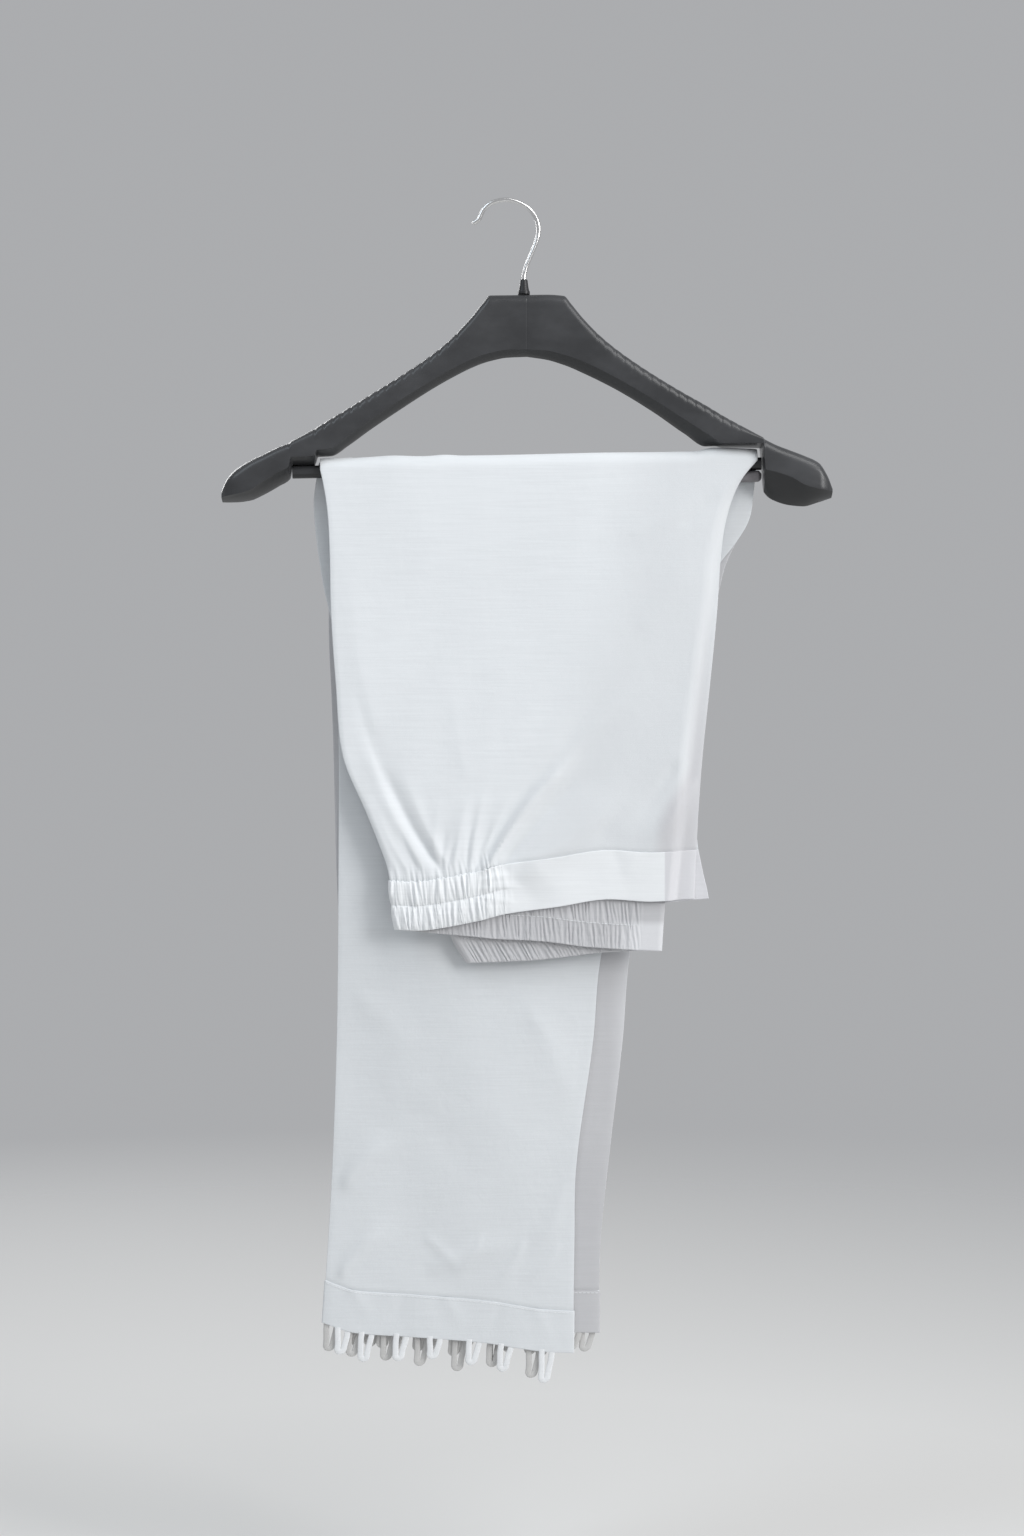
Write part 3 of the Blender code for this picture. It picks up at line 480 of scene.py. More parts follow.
def mix(a, b, share):
    return a + (b - a) * share


def through(rows, key, column, at, overshoot=True):
    """Read a column of a table at a key, on a smooth curve through its rows."""
    keys = np.array([getattr(row, key) for row in rows], float)
    values = np.array([getattr(row, column) for row in rows], float)
    if keys[0] > keys[-1]:
        keys = keys[::-1]
        values = values[::-1]
    step = np.diff(keys)
    slope = np.diff(values) / step
    tangent = np.empty_like(values)
    tangent[0] = slope[0]
    tangent[-1] = slope[-1]
    if overshoot:
        tangent[1:-1] = (values[2:] - values[:-2]) / (keys[2:] - keys[:-2])
    else:
        same = slope[1:] * slope[:-1] > 0.0
        total = np.where(same, slope[1:] + slope[:-1], 1.0)
        tangent[1:-1] = np.where(same, 2.0 * slope[1:] * slope[:-1] / total, 0.0)
    at = np.clip(at, keys[0], keys[-1])
    i = np.clip(np.searchsorted(keys, at, side="right") - 1, 0, len(step) - 1)
    t = (at - keys[i]) / step[i]
    return (
        values[i] * (2 * t**3 - 3 * t**2 + 1)
        + tangent[i] * step[i] * (t**3 - 2 * t**2 + t)
        + values[i + 1] * (3 * t**2 - 2 * t**3)
        + tangent[i + 1] * step[i] * (t**3 - t**2)
    )


def rail_top(x):
    return RAIL_TOP_AT_CENTRE + RAIL_SLOPE * (x - HANGER_CENTRE)


def arc_centre(x):
    """Height of the axis that the cloth turns round, where it passes over the rail."""
    rising = smooth((x - END_LIFT_START) / (END_LIFT_FULL - END_LIFT_START))
    falling = smooth((x - END_LIFT_FULL) / (END_LIFT_EDGE - END_LIFT_FULL))
    return rail_top(x) - RAIL_RADIUS + rising * mix(END_LIFT, END_LIFT_AT_EDGE, falling)


def front_edges(layer, z):
    side, rise = EDGE_OF[layer][:2]
    return through(FRONT_DROP, "z", side, z), through(FRONT_DROP, "z", rise, z)


def rear_edges(layer, z):
    side, inseam = EDGE_OF[layer][2:]
    return through(REAR_DROP, "z", side, z), through(REAR_DROP, "z", inseam, z)


def waist_edge(layer, share):
    return through(WAIST_EDGE, "share", layer, share)


def hem_edge(leg, share):
    return through(HEM_EDGE, "share", leg, share)


# The lie of the cloth

def fold_height(layer, drop, x, z):
    """Height of the soft folds at a point of a layer, each with a soft crest and long flanks."""
    total = np.zeros(np.broadcast(x, z).shape)
    for fold in FOLDS.get((layer, drop), ()):
        along_x = fold.x1 - fold.x0
        along_z = fold.z1 - fold.z0
        length = math.hypot(along_x, along_z)
        share = ((x - fold.x0) * along_x + (z - fold.z0) * along_z) / length**2
        bow = 0.035 * length * np.sin(np.pi * np.clip(share, 0.0, 1.0))
        off = np.abs(((x - fold.x0) * along_z - (z - fold.z0) * along_x) / length + bow)
        width = fold.width * mix(0.8, 1.7, np.clip(share, 0.0, 1.0))
        ends = smooth((share + 0.15) / 0.25) * smooth((1.15 - share) / 0.6)
        total = total + fold.height * ends * np.exp(-((off / width) ** 1.7))
    return total


def unevenness(waves, x, z):
    total = np.zeros(np.broadcast(x, z).shape)
    for wave in waves:
        total = total + wave.height * np.sin(2.0 * np.pi * (x / wave.across + z / wave.up) + wave.phase)
    ramp = smooth((arc_centre(x) - z - WAVE_START) / WAVE_LENGTH)
    return total * ramp


def gathers(run, pitch, seed, down=0.0):
    """Uneven soft gathers along a run of cloth, from 0 to 1, that drift as they go down it."""
    drift = 0.35 * np.sin(0.21 * run + 2.1 * seed) + 0.22 * np.sin(0.83 * run + seed) * down
    place = run / pitch + 0.28 * np.sin(0.27 * run + seed) + 0.13 * np.sin(0.71 * run + 2.3 * seed)
    hump = (0.5 - 0.5 * np.cos(2.0 * np.pi * (place + drift * down))) ** 0.85
    height = 0.66 + 0.22 * np.sin(0.37 * run + 1.7 * seed + 1.4 * down)
    height = height + 0.12 * np.sin(1.11 * run + 0.9 * seed)
    return hump * height


def near_edge(distance, reach):
    """From 1 at an edge to 0 at a distance, turning in ever more sharply like folded cloth."""
    return np.clip(1.0 - distance / reach, 0.0, 1.0) ** 2.2


def front_depth(layer, x, z):
    """Middle of a layer, out from the rail's front face, in the front drop."""
    below = np.maximum(0.0, arc_centre(x) - z)
    pitch = LAYER_PITCH + FRONT_SPLAY * below / FRONT_LENGTH
    depth = SEAM_GAP + SOLID_WALL / 2.0 + pitch * LAYERS.index(layer)
    left, right = front_edges(layer, z)
    closing = (pitch - CLOTH - TOUCH) / 2.0
    at_left, at_right = CLOSES[layer]
    depth = depth + at_left * closing * near_edge(x - left, EDGE_CLOSING)
    depth = depth + at_right * closing * near_edge(right - x, EDGE_CLOSING)
    if layer == "outer_front":
        back_rise = through(FRONT_DROP, "z", "back_rise", z) + RISE_CLEARANCE
        past_back = (x - back_rise) / RISE_DIP
        lying_on = SEAM_GAP + SOLID_WALL / 2.0 + LAYER_PITCH
        at_seam = (LAYER_PITCH - CLOTH - TOUCH) * near_edge(right - x, EDGE_CLOSING)
        depth = mix(depth, lying_on, smooth(past_back) * smooth(below / RISE_CLOSING)) - at_seam
        depth = depth + smooth((right - x) / FOLD_MARGIN) * fold_height(layer, "front", x, z)
    return depth + unevenness(FRONT_WAVES, x, z)


def rear_depth(layer, x, z):
    """Middle of a layer, back from the rail's rear face, in the rear drop."""
    depth = SEAM_GAP + SOLID_WALL / 2.0 + LAYER_PITCH * LAYERS.index(layer)
    left, right = rear_edges(layer, z)
    across = np.sin(np.pi * np.clip((x - left) / (right - left), 0.0, 1.0))
    below = arc_centre(x) - z
    puff = LEG_PUFF * across * smooth((below - LEG_PUFF_START) / LEG_PUFF_LENGTH)
    creases = smooth(across / 0.25) * fold_height(layer, "rear", x, z)
    closing = (LAYER_PITCH - CLOTH - TOUCH) / 2.0
    depth = depth + OUTWARD[layer] * closing * near_edge(x - left, EDGE_CLOSING)
    depth = depth + OUTWARD[layer] * closing * near_edge(right - x, EDGE_CLOSING)
    if layer == "inner_front":
        depth = depth - puff - creases
    if layer == "outer_front":
        depth = depth + puff + creases
    return depth + unevenness(REAR_WAVES, x, z)


def front_place(layer, share, z):
    left, right = front_edges(layer, z)
    x = mix(left, right, share)
    return x, -(RAIL_RADIUS + front_depth(layer, x, z)), z


def rear_place(layer, share, z):
    left, right = rear_edges(layer, z)
    x = mix(left, right, share)
    return x, RAIL_RADIUS + rear_depth(layer, x, z), z


def turning_height(layer, share):
    """Height at which a column of a panel leaves the front drop and turns over the rail."""
    left, right = front_edges(layer, arc_centre(HANGER_CENTRE))
    return arc_centre(mix(left, right, share))


# Meshes

def spread(length, step):
    """Stations along a length, as shares of it: crowded at both ends, then evenly spaced."""
    near = np.array(RIM)
    count = max(2, int(round((length - 2.0 * near[-1]) / step)))
    middle = np.linspace(near[-1], length - near[-1], count + 1)[1:-1]
    return np.concatenate([near, middle, length - near[::-1]]) / length


def rounded_half(distance, half):
    """Half of the cloth's thickness near a rim, so that the rim is round."""
    into = np.clip(distance / half, 0.0, 1.0)
    return half * np.sqrt(np.maximum(0.04, 1.0 - (1.0 - into) ** 2))


def finish_mesh(name, points, faces, material, sharp=50.0):
    """Make an object in metres from points in millimetres and faces, and shade it."""
    mesh = bpy.data.meshes.new(name)
    mesh.from_pydata((np.asarray(points, float) * MM).tolist(), [], [list(f) for f in faces])
    mesh.materials.append(material)
    mesh.update()
    mesh.shade_smooth()
    mesh.set_sharp_from_angle(angle=math.radians(sharp))
    made = bpy.data.objects.new(name, mesh)
    bpy.context.scene.collection.objects.link(made)
    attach(made, "root")
    return made


def enclosed(points, quads):
    """Volume inside a closed mesh of quads, below zero where its faces point in."""
    a, b, c, d = (points[quads[:, k]] for k in range(4))
    first = np.einsum("ij,ij->i", a, np.cross(b, c))
    second = np.einsum("ij,ij->i", a, np.cross(c, d))
    return (first.sum() + second.sum()) / 6.0


def shell(name, outer, inner, material, ring=False, sharp=50.0, second=None):
    """Close two like grids of points into one thin wall; a ring joins its last column to its first.

    second may hold another material and the first and last column that wear it.
    """
    rows, columns = outer.shape[:2]
    count = rows * columns
    index = np.arange(count).reshape(rows, columns)
    if ring:
        index = np.concatenate([index, index[:, :1]], axis=1)
    a, b = index[:-1, :-1], index[:-1, 1:]
    d, c = index[1:, :-1], index[1:, 1:]
    quads = [np.stack([a, b, c, d], -1).reshape(-1, 4), count + np.stack([a, d, c, b], -1).reshape(-1, 4)]
    rims = [(b[0], a[0]), (d[-1], c[-1])]
    if not ring:
        rims += [(a[:, 0], d[:, 0]), (c[:, -1], b[:, -1])]
    for start, end in rims:
        quads.append(np.stack([start, end, count + end, count + start], -1))
    quads = np.concatenate(quads)
    column = (quads[:, 0] % count) % columns
    points = np.concatenate([outer.reshape(-1, 3), inner.reshape(-1, 3)])
    if enclosed(points, quads) < 0.0:
        quads = quads[:, ::-1]
    made = finish_mesh(name, points, quads, material, sharp)
    if second:
        made.data.materials.append(second[0])
        worn = (column >= second[1]) & (column < second[2])
        made.data.polygons.foreach_set("material_index", worn.astype(np.int32))
    return made


def tube(sections):
    """Points and faces of a closed tube through a row of like sections, with flat ends."""
    sections = np.asarray(sections, float)
    rings, sides = sections.shape[:2]
    points = sections.reshape(-1, 3)
    index = np.arange(rings * sides).reshape(rings, sides)
    turned = np.roll(index, -1, axis=1)
    quads = np.stack([index[:-1], turned[:-1], turned[1:], index[1:]], -1).reshape(-1, 4)
    faces = quads.tolist() + [index[0][::-1].tolist(), index[-1].tolist()]
    if enclosed(points, quads) < 0.0:
        faces = [f[::-1] for f in faces]
    return points, faces


def joined(name, parts, material, sharp=50.0):
    """One object from many separate closed forms."""
    points = []
    faces = []
    start = 0
    for part_points, part_faces in parts:
        points.append(part_points)
        faces += [[start + i for i in face] for face in part_faces]
        start += len(part_points)
    return finish_mesh(name, np.concatenate(points), faces, material, sharp)


# Cloth pieces

def panel_columns(layer):
    step = SPACING[layer].across
    if layer != "outer_front":
        return spread(WAIST_WIDTH + 60.0, step)
    near = np.array(RIM) / WAIST_WIDTH
    gathered = ELASTIC_SHARE * WAIST_WIDTH
    count = int(round(gathered / FRONT_GATHER_PITCH * GATHER_COLUMNS))
    plain = int(round((WAIST_WIDTH - gathered) / step))
    return np.concatenate([
        near,
        np.linspace(near[-1], ELASTIC_SHARE, count + 1)[1:],
        np.linspace(ELASTIC_SHARE, 1.0 - near[-1], plain + 1)[1:-1],
        1.0 - near[::-1],
    ])


def top_lumps(x):
    return sum(lump.height * np.exp(-(((x - lump.x) / lump.width) ** 2)) for lump in TOP_LUMPS)


def drop_shares(length, step, foot):
    """Shares of the way down a drop: even steps, with a finer stretch at the foot."""
    coarse = np.arange(0.0, length - foot.length, step)
    close = np.arange(length - foot.length, length - 0.01, foot.step)
    return np.concatenate([coarse, close, [length]]) / length


def panel(layer, material):
    """One leg panel, from under the waistband up over the rail and down to under the hem band."""
    spacing = SPACING[layer]
    shares = panel_columns(layer)
    top = turning_height(layer, shares)
    seam = waist_edge(layer, shares) + WAISTBAND_HEIGHT
    half = CLOTH / 2.0
    left, right = front_edges(layer, WIDTH_HEIGHT)
    rim = rounded_half(np.minimum(shares, 1.0 - shares) * (right - left), half)

    foot = GATHERED_FOOT if layer == "outer_front" else PLAIN_FOOT
    downs = drop_shares(FRONT_ROWS_LENGTH, spacing.front, foot)[::-1, None]
    z = mix(top, seam - TUCK, downs)
    x, y, z = front_place(layer, shares, z)
    above = z - seam
    raised = np.zeros_like(y)
    if layer == "outer_front":
        run = shares * WAIST_WIDTH
        close = gathers(run, FRONT_GATHER_PITCH, 0.7) * smooth(1.0 - above / (0.5 * GATHER_FADE))
        fine = gathers(run, FINE_PITCH * FRONT_GATHER_PITCH, 3.7)
        fine = fine * smooth(1.0 - above / (0.25 * GATHER_FADE))
        raised = gathered_share(shares) * GATHER_HEIGHT * (0.52 * close + 0.2 * fine)
    y = y - raised + TUCK_DEPTH * smooth(1.0 - (above + TUCK_START) / TUCK_EASE)
    front = np.stack([x, y, z], -1)
    front_way = np.zeros_like(front)
    front_way[..., 1] = -1.0

    angles = np.linspace(0.0, np.pi, ARC_STEPS + 1)[:, None]
    x0, y0, _ = front_place(layer, shares, top)
    x1, y1, _ = rear_place(layer, shares, top)
    reach = mix(-y0, y1, angles / np.pi)
    if layer == "outer_front":
        reach = reach + top_lumps(x0) * np.sin(angles) ** 2
    way = np.stack([0.0 * reach, -np.cos(angles) + 0.0 * reach, np.sin(angles) + 0.0 * reach], -1)
    base = np.stack([mix(x0, x1, 0.5 - 0.5 * np.cos(angles)), 0.0 * reach, top + 0.0 * reach], -1)
    arc = base + way * reach[..., None]

    hem = hem_edge(layer.split("_")[0], shares) + HEM_BAND_HEIGHT
    downs = drop_shares(REAR_ROWS_LENGTH, spacing.rear, PLAIN_FOOT)[1:, None]
    z = mix(top, hem - TUCK, downs)
    x, y, z = rear_place(layer, shares, z)
    y = y + OUTWARD[layer] * TUCK_DEPTH * smooth(1.0 - (z - hem + TUCK_START) / TUCK_EASE)
    rear = np.stack([x, y, z], -1)
    rear_way = np.zeros_like(rear)
    rear_way[..., 1] = 1.0

    middle = np.concatenate([front, arc[1:-1], rear])
    ways = np.concatenate([front_way, way[1:-1], rear_way]) * rim[None, :, None]
    name = layer.replace("_", "_leg_")
    made = shell(name + "_cloth", middle + ways, middle - ways, material)
    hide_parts(name)


def casing_puff(down):
    """Puffed rows down the elastic band, pinched at its seam, middle stitch and edge."""
    return np.abs(np.sin(CASING_ROWS * np.pi * down)) ** 0.6


def gathered_share(shares):
    """From 1 on the elastic to 0 where the front of the waist lies flat."""
    return smooth((ELASTIC_SHARE + 0.055 - shares) / 0.12)


def band_rows(height, step):
    """Rows down a band, crowded at the rims and either side of its middle stitch."""
    rows = spread(height, step)
    middle = np.array([-0.035, -0.012, 0.0, 0.012, 0.035]) + 0.5
    return np.unique(np.round(np.concatenate([rows, middle]), 6))


def gathered_relief(run, downs, pitch, seed):
    """Gathers of the two rows of the casing, those of one row set off from the other's."""
    rows = CASING_ROWS * downs
    upper = gathers(run, pitch, seed, rows)
    lower = gathers(run + 0.45 * pitch, 1.08 * pitch, seed + 1.3, rows - 1.0)
    wave = mix(upper, lower, smooth((downs - 0.46) / 0.08))
    puff = casing_puff(downs)
    fine = gathers(run, FINE_PITCH * pitch, seed + 3.0, rows) - 0.4
    dimples = gathers(run, 0.8 * pitch, seed + 6.0, 2.0 * rows) - 0.4
    return wave * (0.34 + 0.66 * puff) + 0.42 * fine * (1.0 - 0.6 * puff) + 0.4 * dimples


def front_relief(leg, shares, downs):
    """How far the front of the waistband stands out, from the elastic on to the flat front."""
    layer = leg + "_front"
    seed = {"outer": 0.7, "inner": 5.1}[leg]
    z = waist_edge(layer, shares) + WAISTBAND_HEIGHT * (1.0 - downs)
    left, right = front_edges(layer, z)
    gathered = gathered_share(shares)
    relief = GATHER_HEIGHT * gathered_relief(shares * WAIST_WIDTH, downs, FRONT_GATHER_PITCH, seed)
    relief = (relief + PUFF_HEIGHT * casing_puff(downs)) * gathered + BAND_PROUD
    relief = relief + fold_height(layer, "band", mix(left, right, shares), z)
    return relief * smooth((1.0 - shares) / 0.02)


def elastic_side(leg, side, shares, downs):
    """Middle of the elastic band along one side of a leg's waist, with its gathers."""
    layer = leg + "_" + side
    z = waist_edge(layer, shares) + WAISTBAND_HEIGHT * (1.0 - downs)
    x, y, z = front_place(layer, shares, z)
    outward = OUTWARD[layer]
    if side == "front":
        ragged = gathers(shares * WAIST_WIDTH, 0.8 * FRONT_GATHER_PITCH, 4.4) - 0.45
        z = z + SEAM_RAGGED * ragged * gathered_share(shares) * smooth(1.0 - downs / 0.12)
        return x, y + outward * front_relief(leg, shares, downs), z
    left, right = front_edges(layer, z)
    seed = {"outer_back": 1.9, "inner_back": 3.3}[layer]
    run = shares * (right - left) + 1.6 * (downs - 0.5)
    free = smooth((x - left) / 10.0) * smooth((right - x - CENTRE_BACK_PIECE + 3.0) / 6.0)
    relief = BACK_GATHER_HEIGHT * (1.5 * gathered_relief(run, downs, BACK_GATHER_PITCH, seed) - 0.55)
    return x, y + outward * relief * free, z


def elastic_band(leg, material, behind):
    """Gathered band, from the front panel round the side fold to the back rise."""
    half = DOUBLE_CLOTH / 2.0
    downs = band_rows(WAISTBAND_HEIGHT, BAND_STEP)[:, None]
    front_count = int(round(ELASTIC_SHARE * WAIST_WIDTH / FRONT_COLUMN))
    fronts = np.linspace(ELASTIC_SHARE, 0.001, front_count)
    back_rim = 1.0 - np.array(RIM)[::-1] / BACK_WIDTH
    backs = np.concatenate([np.linspace(0.001, back_rim[0], BACK_COLUMNS)[:-1], back_rim])
    outward = OUTWARD[leg + "_front"]
    xf, yf, zf = elastic_side(leg, "front", fronts, downs)
    xb, yb, zb = elastic_side(leg, "back", backs, downs)
    middle = []
    ways = []
    bulge = 0.5 + 0.9 * casing_puff(downs)
    middle.append(np.stack([xf, yf, zf], -1))
    ways.append(np.broadcast_to([0.0, outward, 0.0], middle[0].shape))
    for turn in FOLD_TURNS:
        x = np.minimum(xf[:, -1:], xb[:, :1]) - bulge * math.sin(math.pi * turn)
        y = mix(yf[:, -1:], yb[:, :1], turn)
        z = mix(zf[:, -1:], zb[:, :1], turn)
        middle.append(np.stack([x, y, z], -1))
        way = (-math.sin(math.pi * turn), outward * math.cos(math.pi * turn), 0.0)
        ways.append(np.broadcast_to(way, middle[-1].shape))
    middle.append(np.stack([xb, yb, zb], -1))
    ways.append(np.broadcast_to([0.0, -outward, 0.0], middle[-1].shape))
    middle = np.concatenate(middle, axis=1)
    ways = np.concatenate(ways, axis=1)
    rim = rounded_half(np.minimum(downs, 1.0 - downs) * WAISTBAND_HEIGHT, half)[..., None]
    # The back half of the casing wears painted shade
    second = (behind, front_count + 2, middle.shape[1])
    made = shell(leg + "_elastic_casing", middle + ways * rim, middle - ways * rim, material,
                 sharp=70.0, second=second)
    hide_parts(leg + "_waistband_elastic")


def flat_band(leg, material):
    """Flat front of the waistband, from the elastic to the front rise."""
    half = DOUBLE_CLOTH / 2.0
    layer = leg + "_front"
    downs = band_rows(WAISTBAND_HEIGHT, BAND_STEP)[:, None]
    width = (1.0 - ELASTIC_SHARE) * WAIST_WIDTH
    shares = mix(ELASTIC_SHARE + 0.0002, 1.0, spread(width, 1.2))
    z = waist_edge(layer, shares) + WAISTBAND_HEIGHT * (1.0 - downs)
    x, y, z = front_place(layer, shares, z)
    outward = OUTWARD[layer]
    y = y + outward * front_relief(leg, shares, downs)
    middle = np.stack([x, y, z], -1)
    way = np.zeros_like(middle)
    way[..., 1] = outward
    down_rim = rounded_half(np.minimum(downs, 1.0 - downs) * WAISTBAND_HEIGHT, half)
    side_rim = rounded_half((1.0 - shares) * WAIST_WIDTH, half)
    rim = np.minimum(down_rim, side_rim)[..., None]
    made = shell(leg + "_flat_band", middle + way * rim, middle - way * rim, material)
    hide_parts(leg + "_waistband_front")


def hem_ring(leg, downs, step):
    """Middle and outward way of a hem band all round the leg opening."""
    shares = spread(HEM_WIDTH, step)[1:-1]
    near = "front" if leg == "inner" else "back"
    far = "back" if leg == "inner" else "front"
    walls = []
    for side, order, outward in ((near, shares, -1.0), (far, shares[::-1], 1.0)):
        z = hem_edge(leg, order) + HEM_BAND_HEIGHT * (1.0 - downs)
        x, y, z = rear_place(leg + "_" + side, order, z)
        proud = BAND_PROUD + fold_height(leg + "_hem", "hem", x, z)
        y = y + outward * proud * smooth(np.minimum(order, 1.0 - order) / 0.03)
        walls.append((x, y, z))
    middle = []
    ways = []
    for wall, other, outward in ((walls[0], walls[1], -1.0), (walls[1], walls[0], 1.0)):
        middle.append(np.stack(wall, -1))
        ways.append(np.broadcast_to([0.0, outward, 0.0], middle[-1].shape))
        xs, ys, zs = (values[:, -1:] for values in wall)
        xo, yo, zo = (values[:, :1] for values in other)
        for turn in HEM_TURNS:
            x = mix(xs, xo, turn) - outward * HEM_BULGE * math.sin(math.pi * turn)
            middle.append(np.stack([x, mix(ys, yo, turn), mix(zs, zo, turn)], -1))
            way = (-outward * math.sin(math.pi * turn), outward * math.cos(math.pi * turn), 0.0)
            ways.append(np.broadcast_to(way, middle[-1].shape))
    return np.concatenate(middle, axis=1), np.concatenate(ways, axis=1)


def hem_band(leg, material, near_material):
    """Flattened ring round the foot of a leg, its two walls joined at side and inseam."""
    half = DOUBLE_CLOTH / 2.0
    downs = spread(HEM_BAND_HEIGHT, 1.6)[:, None]
    middle, ways = hem_ring(leg, downs, HEM_STEP)
    rim = rounded_half(np.minimum(downs, 1.0 - downs) * HEM_BAND_HEIGHT, half)[..., None]
    # The near wall may wear another material: painted shade on the outer leg's hem
    second = (near_material, 0, middle.shape[1] // 2 - 1)
    made = shell(leg + "_hem", middle + ways * rim, middle - ways * rim, material, ring=True, second=second)
    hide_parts(leg + "_hem_band")


def loop_form(leg, side, place, length, number):
    """Narrow tape bent into a loop that hangs from inside the hem band."""
    x, y, z = (float(v) for v in rear_place(leg + "_" + side, place, hem_edge(leg, place)))
    reach = (LOOP_WIDTH - LOOP_TAPE) / 2.0
    turn = length - LOOP_TAPE / 2.0 - LOOP_TIP_RADIUS
    legs = np.linspace(0.0, 1.0, 7)[:-1]
    angles = np.linspace(0.0, np.pi / 2.0, 8)
    inward = mix(reach, LOOP_TIP_RADIUS, smooth(legs))
    out = np.concatenate([[reach], inward, LOOP_TIP_RADIUS * np.cos(angles)])
    down = np.concatenate([[-LOOP_SEAM], legs * turn, turn + LOOP_TIP_RADIUS * np.sin(angles)])
    outs = np.concatenate([-out, out[-2::-1]])
    downs = np.concatenate([down, down[-2::-1]])
    share = np.clip(downs / length, 0.0, 1.0)
    path_x = x + outs - LOOP_LEAN * share + 0.5 * math.sin(1.9 * number) * np.sin(np.pi * share)
    path_z = z - downs
    swing = 0.5 * math.sin(3.1 * number + 1.0)
    path_y = y + 0.28 * np.sign(outs) * (1.0 - share) + swing * share**2
    run = np.stack([np.gradient(path_x), np.gradient(path_z)], -1)
    run /= np.linalg.norm(run, axis=1)[:, None]
    sections = []
    for i in range(len(path_x)):
        section = []
        for step in range(LOOP_SIDES):
            angle = 2.0 * math.pi * step / LOOP_SIDES
            wide = math.copysign(abs(math.cos(angle)) ** 0.6, math.cos(angle)) * LOOP_TAPE / 2.0
            thick = math.copysign(abs(math.sin(angle)) ** 0.8, math.sin(angle)) * LOOP_THICKNESS / 2.0
            section.append((path_x[i] - run[i, 1] * wide, path_y[i] + thick, path_z[i] + run[i, 0] * wide))
        sections.append(section)
    return tube(sections)


def hem_loops(leg, material, behind):
    """The loops of both panels of a leg, as one object for each panel, in a tape with painted shade but for
    the nearest.
    """
    made = []
    for panel_index, side in enumerate(("front", "back")):
        parts = []
        nodes = []
        for i, place in enumerate(LOOPS):
            share = getattr(place, side)
            length = getattr(place, side + "_length")
            if leg == "outer":
                share += LOOP_OUTER_SHIFT
                length *= LOOP_OUTER_LAST if place is LOOPS[-1] else 1.0
            number = panel_index * len(LOOPS) + i + 1
            parts.append(loop_form(leg, side, share, length, number))
            nodes.append("%s_hem_loop_%02d" % (leg, number))
        nearest = leg == "inner" and side == "front"
        loops = joined("%s_hem_loops_%s" % (leg, side), parts, material if nearest else behind)
        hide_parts(*nodes)
        made.append(loops)
    return made


# Sewing

STITCH = 2.3
STITCH_GAP = 0.6
THREAD = 0.42
STITCH_PROUD = 0.02
HEM_STITCH_DOWN = 1.5
WAIST_STITCH_POINTS = 260


def stitch_forms(line, way):
    """Short sunk stitches along a line of points on the cloth, way being out of the cloth."""
    line = np.asarray(line, float)
    steps = np.linalg.norm(np.diff(line, axis=0), axis=1)
    run = np.concatenate([[0.0], np.cumsum(steps)])
    forms = []
    start = STITCH_GAP
    while start + STITCH < run[-1]:
        along = np.linspace(start, start + STITCH, 5)
        centre = np.stack([np.interp(along, run, line[:, k]) for k in range(3)], -1)
        lift = THREAD * (0.30 * np.sin(np.linspace(0.0, np.pi, 5)) - 0.08)
        centre = centre + lift[:, None] * np.asarray(way)
        direction = centre[-1] - centre[0]
        direction = direction / np.linalg.norm(direction)
        side = np.cross(direction, way)
        side = side / np.linalg.norm(side)
        up = np.cross(side, direction)
        sections = []
        for c, size in zip(centre, (0.45, 0.9, 1.0, 0.9, 0.45)):
            angles = np.linspace(0.0, 2.0 * np.pi, 6, endpoint=False)
            radius = THREAD / 2.0 * size
            ring = c + radius * (np.cos(angles)[:, None] * side + np.sin(angles)[:, None] * up)
            sections.append(ring)
        forms.append(tube(sections))
        start += STITCH + STITCH_GAP
    return forms


def waist_stitching(leg, material):
    """Middle stitch line of the elastic casing, in front and behind."""
    forms = []
    down = np.array([[0.5]])
    half = DOUBLE_CLOTH / 2.0
    for side, first, last in (("front", 0.03, ELASTIC_SHARE - 0.01), ("back", 0.05, 0.90)):
        shares = np.linspace(first, last, WAIST_STITCH_POINTS)
        x, y, z = elastic_side(leg, side, shares, down)
        outward = OUTWARD[leg + "_" + side]
        for face in (1.0, -1.0):
            line = np.stack([x[0], y[0] + face * outward * (half + STITCH_PROUD), z[0]], -1)
            forms += stitch_forms(line, (0.0, face * outward, 0.0))
    made = joined(leg + "_waist_stitching", forms, material)


def hem_stitching(leg, material):
    """Stitch line along the top of the hem band, all round."""
    half = DOUBLE_CLOTH / 2.0
    downs = np.array([[HEM_STITCH_DOWN / HEM_BAND_HEIGHT]])
    middle, _ = hem_ring(leg, downs, HEM_STEP)
    forms = []
    count = middle.shape[1] // 2
    for start, end, way in ((2, count - 5, -1.0), (count + 2, 2 * count - 5, 1.0)):
        line = middle[0, start:end] + np.array([0.0, way * (half + STITCH_PROUD), 0.0])
        forms += stitch_forms(line, (0.0, way, 0.0))
    made = joined(leg + "_hem_stitching", forms, material)
    return made


# Hanger

def notch(distance):
    """Depth of the small anti-slip notches in the arms' top edges, from 0 to 1."""
    inside = smooth((distance - NOTCH_FIRST) / 2.0) * smooth((NOTCH_LAST - distance) / 2.0)
    return inside * smooth(3.0 * np.cos(2.0 * np.pi * distance / NOTCH_PITCH) - 1.2)


